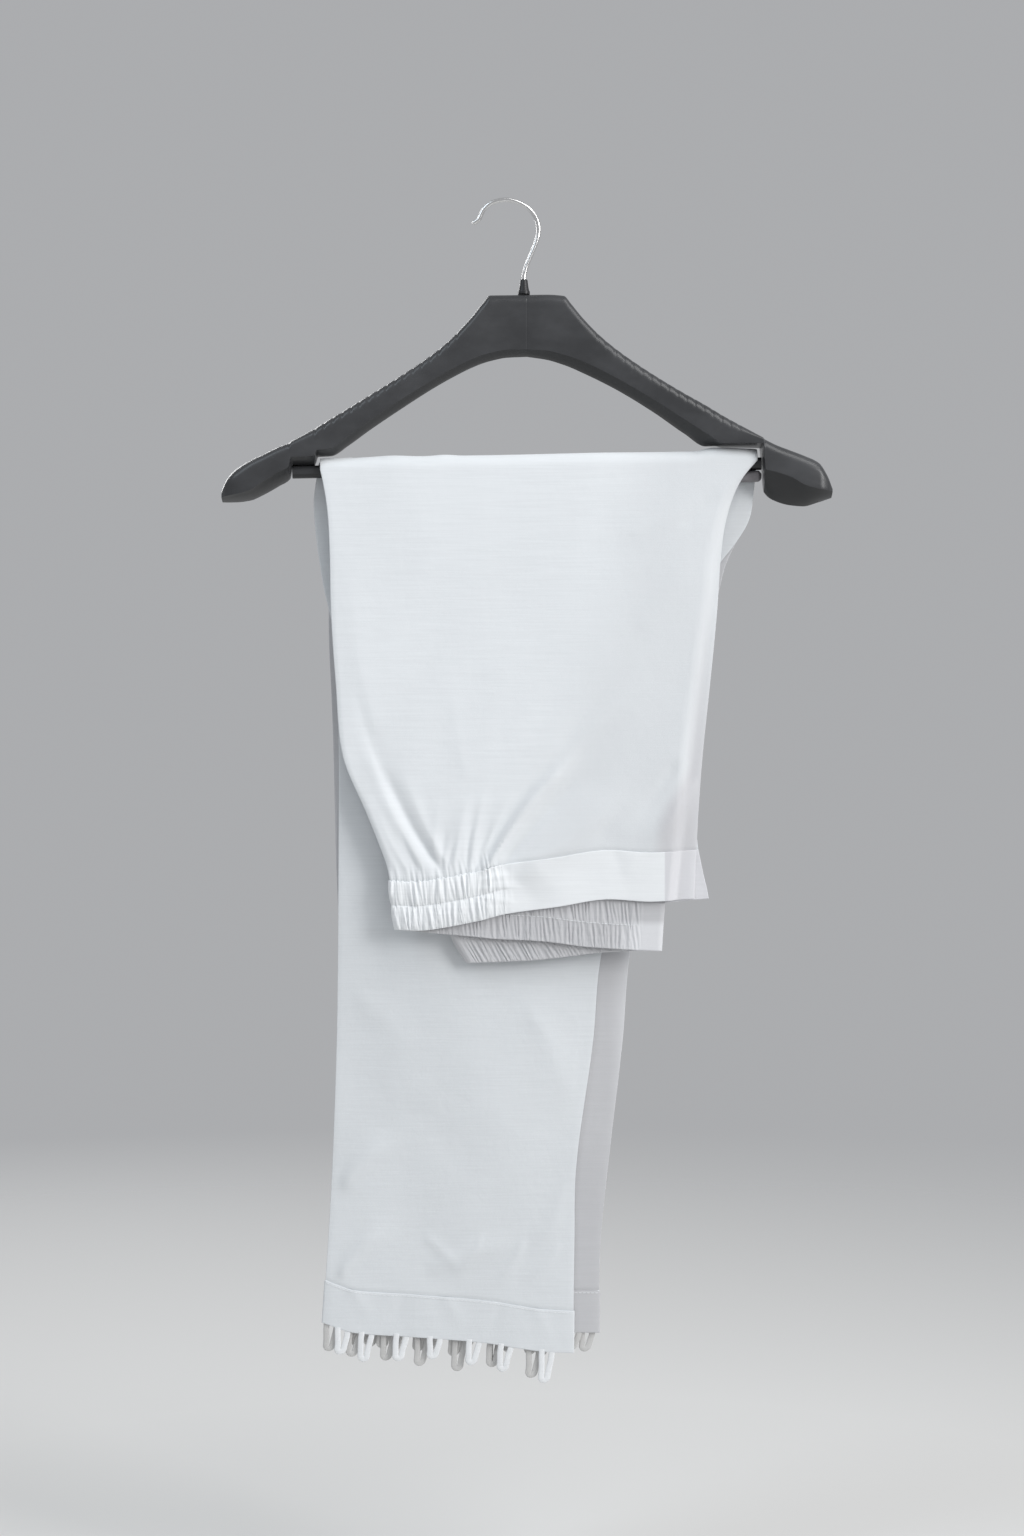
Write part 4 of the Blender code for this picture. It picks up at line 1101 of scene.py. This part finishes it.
def arm_section(side, distance):
    """Section of the hanger: crowned top, upright faces, lower faces sloping in to an edge."""
    rows = (HANGER_MIDDLE,) + (LEFT_ARM if side < 0 else RIGHT_ARM)
    top, ridge, low, half_depth = (
        float(through(rows, "distance", column, distance, overshoot=False))
        for column in ("top", "ridge", "low", "half_depth")
    )
    if side < 0:
        begun = smooth((distance - ON_RAIL_FIRST) / ON_RAIL_EASE)
        low -= ARM_ON_RAIL * float(begun * smooth((ON_RAIL_LAST - distance) / ON_RAIL_EASE))
    x = HANGER_CENTRE + side * distance
    half_depth -= SEAM_DEPTH * math.exp(-((distance / SEAM_WIDTH) ** 2))
    cut = NOTCH_DEPTH * float(notch(distance))
    half = [(0.0, top)]
    shoulder = min(TOP_ROUNDING, TOP_ROUNDING_SHARE * (top - ridge))
    for step in range(1, TOP_STEPS + 1):
        angle = math.pi / 2.0 * step / TOP_STEPS
        across = half_depth - shoulder * 0.42 * (1.0 - math.sin(angle))
        z = top - shoulder * (1.0 - math.cos(angle)) ** 1.15
        bite = cut * math.sin(2.0 * angle)
        half.append((across * (0.30 + 0.70 * math.sin(angle) ** 0.55) - 0.4 * bite, z - bite))
    for share in UPRIGHT_POINTS:
        half.append((half_depth, mix(top - shoulder, ridge, share)))
    half.append((half_depth - 0.12, ridge))
    half.append((0.93 * half_depth, mix(ridge, low, 0.07)))
    for across, share in LOWER_POINTS:
        half.append((across * half_depth, mix(ridge, low, share)))
    half.append((0.0, low))
    left = [(x, -y, z) for y, z in half]
    right = [(x, y, z) for y, z in reversed(half[1:-1])]
    return left + right


def hanger_body(material):
    end = LEFT_ARM[-1].distance
    distances = np.concatenate([SEAM_DISTANCES, np.arange(2.0, end - 0.2, ARM_STEP), [end]])
    left = [arm_section(-1.0, d) for d in distances[1:]]
    right = [arm_section(1.0, d) for d in distances]
    made = finish_mesh("moulded_hanger", *tube(left[::-1] + right), material, 32.0)
    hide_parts("hanger_body")


def rail(material):
    """Bar between the arms, with rounded top and bottom."""
    sections = []
    for x in np.linspace(HANGER_CENTRE - RAIL_REACH, HANGER_CENTRE + RAIL_REACH, RAIL_STATIONS):
        top = rail_top(x)
        section = []
        for centre, start in ((top - RAIL_RADIUS, 0.0), (top - RAIL_HEIGHT + RAIL_RADIUS, math.pi)):
            for step in range(RAIL_STEPS + 1):
                angle = start + math.pi * step / RAIL_STEPS
                section.append((x, RAIL_RADIUS * math.cos(angle), centre + RAIL_RADIUS * math.sin(angle)))
        sections.append(section)
    made = finish_mesh("rail_bar", *tube(sections), material)
    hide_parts("hanger_rail")


def grip(material):
    """Round grip rod under the rail, with rounded ends."""
    right = HANGER_CENTRE + RAIL_REACH
    radius = GRIP_DIAMETER / 2.0
    ring = np.linspace(0.0, 2.0 * np.pi, GRIP_SIDES, endpoint=False)
    sections = []
    insets = np.array(GRIP_INSETS)
    between = np.linspace(GRIP_LEFT + 3.0, right - 3.0, GRIP_STATIONS)
    for x in np.concatenate([GRIP_LEFT + insets, between, right - insets[::-1]]):
        inset = min(x - GRIP_LEFT, right - x)
        share = 0.45 + 0.55 * math.sin(math.pi / 2.0 * min(1.0, inset / GRIP_INSETS[-1]))
        centre = float(rail_top(x)) - RAIL_HEIGHT - SEAM_GAP - radius
        r = radius * share
        sections.append([(x, r * math.cos(a), centre + r * math.sin(a)) for a in ring])
    made = finish_mesh("grip_rod", *tube(sections), material)
    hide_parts("hanger_grip")


def hook(material):
    """Bent wire, as a tube along a smooth curve through the hook's points, with a rounded tip."""
    count = len(HOOK)
    path = []
    for i in range(count - 1):
        before = HOOK[max(0, i - 1)]
        here = HOOK[i]
        after = HOOK[i + 1]
        beyond = HOOK[min(count - 1, i + 2)]
        for step in range(HOOK_STEPS):
            t = step / HOOK_STEPS
            path.append([
                0.5 * (2 * b + (c - a) * t + (2 * a - 5 * b + 4 * c - d) * t**2
                       + (3 * b - a - 3 * c + d) * t**3)
                for a, b, c, d in zip(before, here, after, beyond)
            ])
    path.append([HOOK[-1].x, HOOK[-1].z])
    path = np.array(path)
    run = np.gradient(path, axis=0)
    run /= np.linalg.norm(run, axis=1)[:, None]
    radius = HOOK_WIRE / 2.0
    from_tip = np.concatenate([[0.0], np.cumsum(np.linalg.norm(np.diff(path, axis=0), axis=1))])
    size = radius * np.sqrt(np.maximum(0.03, 1.0 - np.clip(1.0 - from_tip / radius, 0.0, 1.0) ** 2))
    ring = np.linspace(0.0, 2.0 * np.pi, HOOK_SIDES, endpoint=False)
    sections = []
    for (x, z), (run_x, run_z), r in zip(path, run, size):
        sections.append([
            (x - run_z * r * math.cos(a), r * math.sin(a), z + run_x * r * math.cos(a)) for a in ring
        ])
    made = finish_mesh("hook_wire", *tube(sections), material)
    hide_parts("hanger_hook")


def ferrule(material):
    """Small collar that the hook's wire turns in."""
    ring = np.linspace(0.0, 2.0 * np.pi, FERRULE_SIDES, endpoint=False)
    sections = [
        [(FERRULE_CENTRE + row.radius * math.cos(a), row.radius * math.sin(a), row.z) for a in ring]
        for row in FERRULE
    ]
    made = finish_mesh("hook_collar", *tube(sections), material, 40.0)
    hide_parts("hanger_ferrule")


# Materials

# Painted shade that begins at an upright or leaning edge: the edge's place at height 0, slope and
# shift, the width of the change, the heights at which it begins and is full, and the colour
Strip = namedtuple("Strip", "place lean shift ease top full tone")
# Painted shade on the panel towards the back rise, darker to the right
PAINTED_SHADE_TOWARDS_RISE = Strip(0.110, 0.250, 0.0, 0.060, 1.0, 0.5, (0.735, 0.757, 0.776))
# Painted shade on the single cloth past the back rise, on the panel and on the band
PAINTED_SHADE_ON_PANEL = Strip(0.1530, 0.0760, 0.018, 0.012, -0.25, -0.43, (0.63, 0.63, 0.65))
PAINTED_SHADE_ON_BAND = Strip(0.1107, 0.0, 0.0, 0.0012, -0.20, -0.25, (0.70, 0.70, 0.725))
# The heights between which the edge of a painted shade shifts to the left
SHIFT_HEIGHTS = (-0.395, -0.44)
# The painted shade lies on the front drop alone, this side of the rail
FRONT_Y = (0.0, -0.004)
# Painted light on the centre back of the outer leg's band, lighter low down: where it begins
LIT_X = (0.070, 0.097)
LIT_Z = (-0.505, -0.511)
LIT_TONE = (0.74, 0.745, 0.765)
# How far down the plastic faces where its painted shade on undersides begins and is full
PAINTED_SHADE_UNDERSIDE = (-0.2, -0.45)


class Nodes:
    """Short names for adding and linking the nodes of one material."""

    def __init__(self, name):
        self.material = bpy.data.materials.new(name)
        self.material.use_nodes = True
        self.tree = self.material.node_tree
        self.shader = self.tree.nodes["Principled BSDF"]

    def add(self, kind, **inputs):
        node = self.tree.nodes.new(kind)
        for key, value in inputs.items():
            socket = node.inputs[key.replace("_", " ")]
            if hasattr(value, "is_output"):
                self.tree.links.new(value, socket)
            else:
                socket.default_value = value
        return node

    def link(self, output, socket):
        self.tree.links.new(output, socket)

    def math(self, operation, a, b=0.0):
        node = self.tree.nodes.new("ShaderNodeMath")
        node.operation = operation
        for socket, value in zip(node.inputs, (a, b)):
            if hasattr(value, "is_output"):
                self.tree.links.new(value, socket)
            else:
                socket.default_value = value
        return node.outputs[0]

    def noise(self, scale, detail=2.0, roughness=0.5):
        """Noise in the piece's own metres, with a scale along each axis."""
        place = self.add("ShaderNodeTexCoord")
        mapping = self.add("ShaderNodeMapping", Vector=place.outputs["Object"])
        mapping.inputs["Scale"].default_value = scale
        made = self.add("ShaderNodeTexNoise", Vector=mapping.outputs[0], Detail=detail, Roughness=roughness)
        made.inputs["Scale"].default_value = 1.0
        return made.outputs["Fac"]

    def ramp(self, value, low, high, colour_low, colour_high):
        node = self.tree.nodes.new("ShaderNodeValToRGB")
        self.tree.links.new(value, node.inputs[0])
        node.color_ramp.elements[0].position = low
        node.color_ramp.elements[0].color = (*colour_low, 1.0)
        node.color_ramp.elements[1].position = high
        node.color_ramp.elements[1].color = (*colour_high, 1.0)
        return node.outputs[0]

    def eased(self, value, start, end):
        """From 0 to 1 as a value goes from start to end."""
        node = self.add("ShaderNodeMapRange")
        node.interpolation_type = "SMOOTHSTEP"
        self.tree.links.new(value, node.inputs["Value"])
        node.inputs["From Min"].default_value = start
        node.inputs["From Max"].default_value = end
        return node.outputs["Result"]

    def blend(self, share, base, colour):
        """A colour laid over another by a share."""
        node = self.add("ShaderNodeMix")
        node.data_type = "RGBA"
        self.tree.links.new(share, node.inputs[0])
        self.tree.links.new(base, node.inputs[6])
        node.inputs[7].default_value = (*colour, 1.0)
        return node.outputs[2]

    def bump(self, height, distance, strength=1.0, under=None):
        node = self.add("ShaderNodeBump", Height=height, Distance=distance, Strength=strength)
        if under is not None:
            self.tree.links.new(under, node.inputs["Normal"])
        return node.outputs[0]


def cotton(name, colour, weave=1.0, crumple=1.0, strips=(), lit=False):
    """White plain-weave cotton: threads both ways, slubs along the weft, and faint crumpling.

    strips are painted shade towards and past the back rise, and lit says whether the centre back
    of the band gets painted light.
    """
    nodes = Nodes(name)
    slub = nodes.noise((26.0, 26.0, 900.0), 3.0, 0.6)
    cloud = nodes.noise((14.0, 14.0, 9.0), 3.0, 0.55)
    tone = nodes.math("ADD", nodes.math("MULTIPLY", slub, 0.55), nodes.math("MULTIPLY", cloud, 0.45))
    low = tuple(0.955 * c for c in colour)
    high = tuple(min(1.0, 1.02 * c) for c in colour)
    base = nodes.ramp(tone, 0.35, 0.65, low, high)
    place = nodes.add("ShaderNodeTexCoord")
    parts = nodes.add("ShaderNodeSeparateXYZ", Vector=place.outputs["Object"])
    # Painted shade past each strip's edge, on the front drop
    for strip in strips:
        line = nodes.math("ADD", nodes.math("MULTIPLY", parts.outputs["Z"], strip.lean), strip.place)
        shifted = nodes.math("MULTIPLY", nodes.eased(parts.outputs["Z"], *SHIFT_HEIGHTS), strip.shift)
        line = nodes.math("SUBTRACT", line, shifted)
        past = nodes.eased(nodes.math("SUBTRACT", parts.outputs["X"], line), 0.0, strip.ease)
        low_down = nodes.eased(parts.outputs["Z"], strip.top, strip.full)
        in_front = nodes.math("MULTIPLY", low_down, nodes.eased(parts.outputs["Y"], *FRONT_Y))
        base = nodes.blend(nodes.math("MULTIPLY", past, in_front), base, strip.tone)
    # Painted light, low on the centre back of the band
    if lit:
        share = nodes.math("MULTIPLY", nodes.eased(parts.outputs["X"], *LIT_X),
                           nodes.eased(parts.outputs["Z"], *LIT_Z))
        base = nodes.blend(share, base, LIT_TONE)
    nodes.link(base, nodes.shader.inputs["Base Color"])
    nodes.shader.inputs["Sheen Weight"].default_value = 0.12
    nodes.shader.inputs["Sheen Roughness"].default_value = 0.45
    nodes.shader.inputs["Specular IOR Level"].default_value = 0.25
    rough = nodes.math("ADD", nodes.math("MULTIPLY", slub, 0.10), 0.80)
    nodes.link(rough, nodes.shader.inputs["Roughness"])
    thread = 2.0 * math.pi / 0.00062
    warp = nodes.math("SINE", nodes.math("MULTIPLY", parts.outputs["X"], thread))
    weft = nodes.math("SINE", nodes.math("MULTIPLY", parts.outputs["Z"], thread))
    crossing = nodes.math("MULTIPLY", warp, weft)
    crumpled = nodes.bump(nodes.noise((95.0, 95.0, 70.0), 4.0, 0.6), 0.0006, 0.35 * crumple)
    slubbed = nodes.bump(slub, 0.00012, 0.5, crumpled)
    woven = nodes.bump(crossing, 0.00005, 0.5 * weave, slubbed)
    nodes.link(woven, nodes.shader.inputs["Normal"])
    return nodes.material


def plastic(name, colour, roughness):
    """Moulded plastic with a faint flow pattern and soft scuffs, and painted shade on its undersides."""
    nodes = Nodes(name)
    flow = nodes.noise((22.0, 60.0, 38.0), 4.0, 0.6)
    low = tuple(0.8 * c for c in colour)
    high = tuple(1.25 * c for c in colour)
    base = nodes.ramp(flow, 0.35, 0.68, low, high)
    # Painted shade on faces that look down
    surface = nodes.add("ShaderNodeNewGeometry")
    facing = nodes.add("ShaderNodeSeparateXYZ", Vector=surface.outputs["Normal"])
    below = nodes.eased(facing.outputs["Z"], *PAINTED_SHADE_UNDERSIDE)
    nodes.link(nodes.blend(below, base, tuple(0.4 * c for c in colour)), nodes.shader.inputs["Base Color"])
    rough = nodes.math("ADD", nodes.math("MULTIPLY", flow, 0.22), roughness - 0.11)
    nodes.link(rough, nodes.shader.inputs["Roughness"])
    nodes.shader.inputs["Specular IOR Level"].default_value = 0.45
    ripple = nodes.bump(nodes.noise((35.0, 35.0, 35.0), 2.0), 0.0008, 0.25)
    grain = nodes.bump(nodes.noise((900.0, 900.0, 900.0), 2.0), 0.00004, 0.4, ripple)
    nodes.link(grain, nodes.shader.inputs["Normal"])
    return nodes.material


def rubber(name, colour):
    nodes = Nodes(name)
    speck = nodes.noise((160.0, 160.0, 160.0), 3.0)
    low = tuple(0.85 * c for c in colour)
    high = tuple(1.15 * c for c in colour)
    nodes.link(nodes.ramp(speck, 0.3, 0.7, low, high), nodes.shader.inputs["Base Color"])
    nodes.shader.inputs["Roughness"].default_value = 0.5
    nodes.link(nodes.bump(speck, 0.0001, 0.5), nodes.shader.inputs["Normal"])
    return nodes.material


def chrome(name):
    """Plated wire with fine drawing marks along it."""
    nodes = Nodes(name)
    marks = nodes.noise((90.0, 90.0, 60.0), 2.0, 0.5)
    nodes.link(nodes.ramp(marks, 0.3, 0.75, (0.74, 0.73, 0.72), (0.82, 0.82, 0.82)),
               nodes.shader.inputs["Base Color"])
    nodes.shader.inputs["Metallic"].default_value = 1.0
    rough = nodes.math("ADD", nodes.math("MULTIPLY", marks, 0.08), 0.18)
    nodes.link(rough, nodes.shader.inputs["Roughness"])
    return nodes.material


# Stage, light and camera

# The photograph's frame: its height in pixels, the size of a pixel, and the point at its centre
PICTURE_HEIGHT = 1536
PIXEL = 0.706
VIEW_X = 4.24
VIEW_Z = -399.3
CAMERA_DISTANCE = 1.8
SENSOR = 36.0
FLOOR_HEIGHT = -1.0
FLOOR_RADIUS = 2.6


def floor_material():
    """Pale floor that fades out towards its rim."""
    nodes = Nodes("pale_floor")
    nodes.shader.inputs["Base Color"].default_value = (0.72, 0.72, 0.71, 1.0)
    nodes.shader.inputs["Roughness"].default_value = 0.9
    place = nodes.add("ShaderNodeTexCoord")
    length = nodes.tree.nodes.new("ShaderNodeVectorMath")
    length.operation = "LENGTH"
    nodes.link(place.outputs["Object"], length.inputs[0])
    fade = nodes.math("DIVIDE", length.outputs["Value"], FLOOR_RADIUS)
    ramp = nodes.ramp(fade, 0.25, 0.95, (0.0, 0.0, 0.0), (1.0, 1.0, 1.0))
    clear = nodes.add("ShaderNodeBsdfTransparent")
    blend = nodes.add("ShaderNodeMixShader")
    nodes.link(ramp, blend.inputs[0])
    nodes.link(nodes.shader.outputs[0], blend.inputs[1])
    nodes.link(clear.outputs[0], blend.inputs[2])
    nodes.link(blend.outputs[0], nodes.tree.nodes["Material Output"].inputs["Surface"])
    return nodes.material


def floor():
    ring = np.linspace(0.0, 2.0 * np.pi, 96, endpoint=False)
    radius = FLOOR_RADIUS / MM
    points = [(radius * math.cos(a), radius * math.sin(a), 0.0) for a in ring]
    mesh = bpy.data.meshes.new("floor")
    mesh.from_pydata((np.array(points) * MM).tolist(), [], [list(range(len(points)))])
    mesh.materials.append(floor_material())
    made = bpy.data.objects.new("floor", mesh)
    made.location = (0.0, 0.0, FLOOR_HEIGHT)
    bpy.context.scene.collection.objects.link(made)


def soft_light(name, place, target, size, power, colour=(1.0, 1.0, 1.0)):
    light = bpy.data.lights.new(name, "AREA")
    light.shape = "RECTANGLE"
    light.size, light.size_y = size
    light.energy = power
    light.color = colour
    made = bpy.data.objects.new(name, light)
    made.location = place
    away = np.array(place) - np.array(target)
    away = away / np.linalg.norm(away)
    made.rotation_euler = (math.acos(away[2]), 0.0, math.atan2(away[1], away[0]) + math.pi / 2.0)
    bpy.context.scene.collection.objects.link(made)


def studio():
    world = bpy.data.worlds.new("studio")
    world.use_nodes = True
    background = world.node_tree.nodes["Background"]
    background.inputs["Color"].default_value = (0.66, 0.67, 0.69, 1.0)
    background.inputs["Strength"].default_value = 0.62
    bpy.context.scene.world = world
    centre = (0.0, 0.0, -0.42)
    soft_light("key", (2.5, -2.0, 0.75), centre, size=(1.15, 1.5), power=55.0)
    soft_light("overhead", (1.05, -1.0, 1.6), centre, size=(1.7, 0.8), power=20.0)
    soft_light("top", (-1.1, -0.9, 1.2), (0.0, 0.0, -0.3), size=(0.4, 1.2), power=7.0,
               colour=(0.80, 0.91, 1.0))
    soft_light("back", (-1.2, 2.2, 0.7), centre, size=(1.0, 1.2), power=22.0)
    bpy.context.scene.view_settings.view_transform = "Standard"


def camera():
    data = bpy.data.cameras.new("camera")
    data.sensor_fit = "VERTICAL"
    data.sensor_height = SENSOR
    data.lens = SENSOR * CAMERA_DISTANCE / (PICTURE_HEIGHT * PIXEL * MM)
    data.clip_end = 50.0
    made = bpy.data.objects.new("camera", data)
    made.location = (VIEW_X * MM, -CAMERA_DISTANCE, VIEW_Z * MM)
    made.rotation_euler = (math.pi / 2.0, 0.0, 0.0)
    bpy.context.scene.collection.objects.link(made)
    bpy.context.scene.camera = made


def main():
    white = cotton("white_cotton_weave", (0.82, 0.845, 0.865), strips=(PAINTED_SHADE_TOWARDS_RISE, PAINTED_SHADE_ON_PANEL))
    # Painted shade: a darker copy of the white cotton for the legs that hang behind the waist
    legs = cotton("white_cotton_leg_painted_shade", (0.74, 0.765, 0.785), crumple=1.4)
    # Painted shade: a darker copy of the white cotton for cloth in the shade of the layers in front
    shaded = cotton("white_cotton_painted_shade", (0.575, 0.575, 0.59), lit=True)
    band = cotton("white_cotton_band", (0.86, 0.88, 0.895), weave=0.7, crumple=0.6, strips=(PAINTED_SHADE_ON_BAND,))
    # Painted shade: a darker copy of the band's cotton for the inner leg's flat band
    painted_shade_inner_band = cotton("white_cotton_inner_band_painted_shade", (0.72, 0.72, 0.745), weave=0.7, crumple=0.6)
    tape = cotton("white_tape_weave", (0.85, 0.865, 0.88), weave=1.4, crumple=0.4)
    # Painted shade: a darker copy of the tape for the loops behind the nearest
    shaded_tape = cotton("white_tape_painted_shade", (0.60, 0.595, 0.585), weave=1.4, crumple=0.4)
    charcoal = plastic("charcoal_moulding", (0.047, 0.048, 0.051), 0.34)
    collar = plastic("black_collar", (0.020, 0.020, 0.022), 0.42)
    panel("outer_front", white)
    # The outer leg's back panel wears painted shade
    panel("outer_back", shaded)
    panel("inner_back", legs)
    panel("inner_front", legs)
    for leg in ("outer", "inner"):
        # The inner leg's casing, and the back half of each casing, wear painted shade
        elastic_band(leg, band if leg == "outer" else shaded, shaded)
        flat_band(leg, band if leg == "outer" else painted_shade_inner_band)
        loops = hem_loops(leg, tape, shaded_tape)
        stitching = hem_stitching(leg, tape)
        waist_stitching(leg, tape)
        # The outer leg's hem wears painted shade on its near wall
        hem_band(leg, legs, shaded if leg == "outer" else legs)
    hanger_body(charcoal)
    rail(charcoal)
    grip(rubber("grey_grip_rubber", (0.20, 0.19, 0.20)))
    ferrule(collar)
    hook(chrome("chrome_wire_plating"))
    floor()
    studio()
    camera()


main()
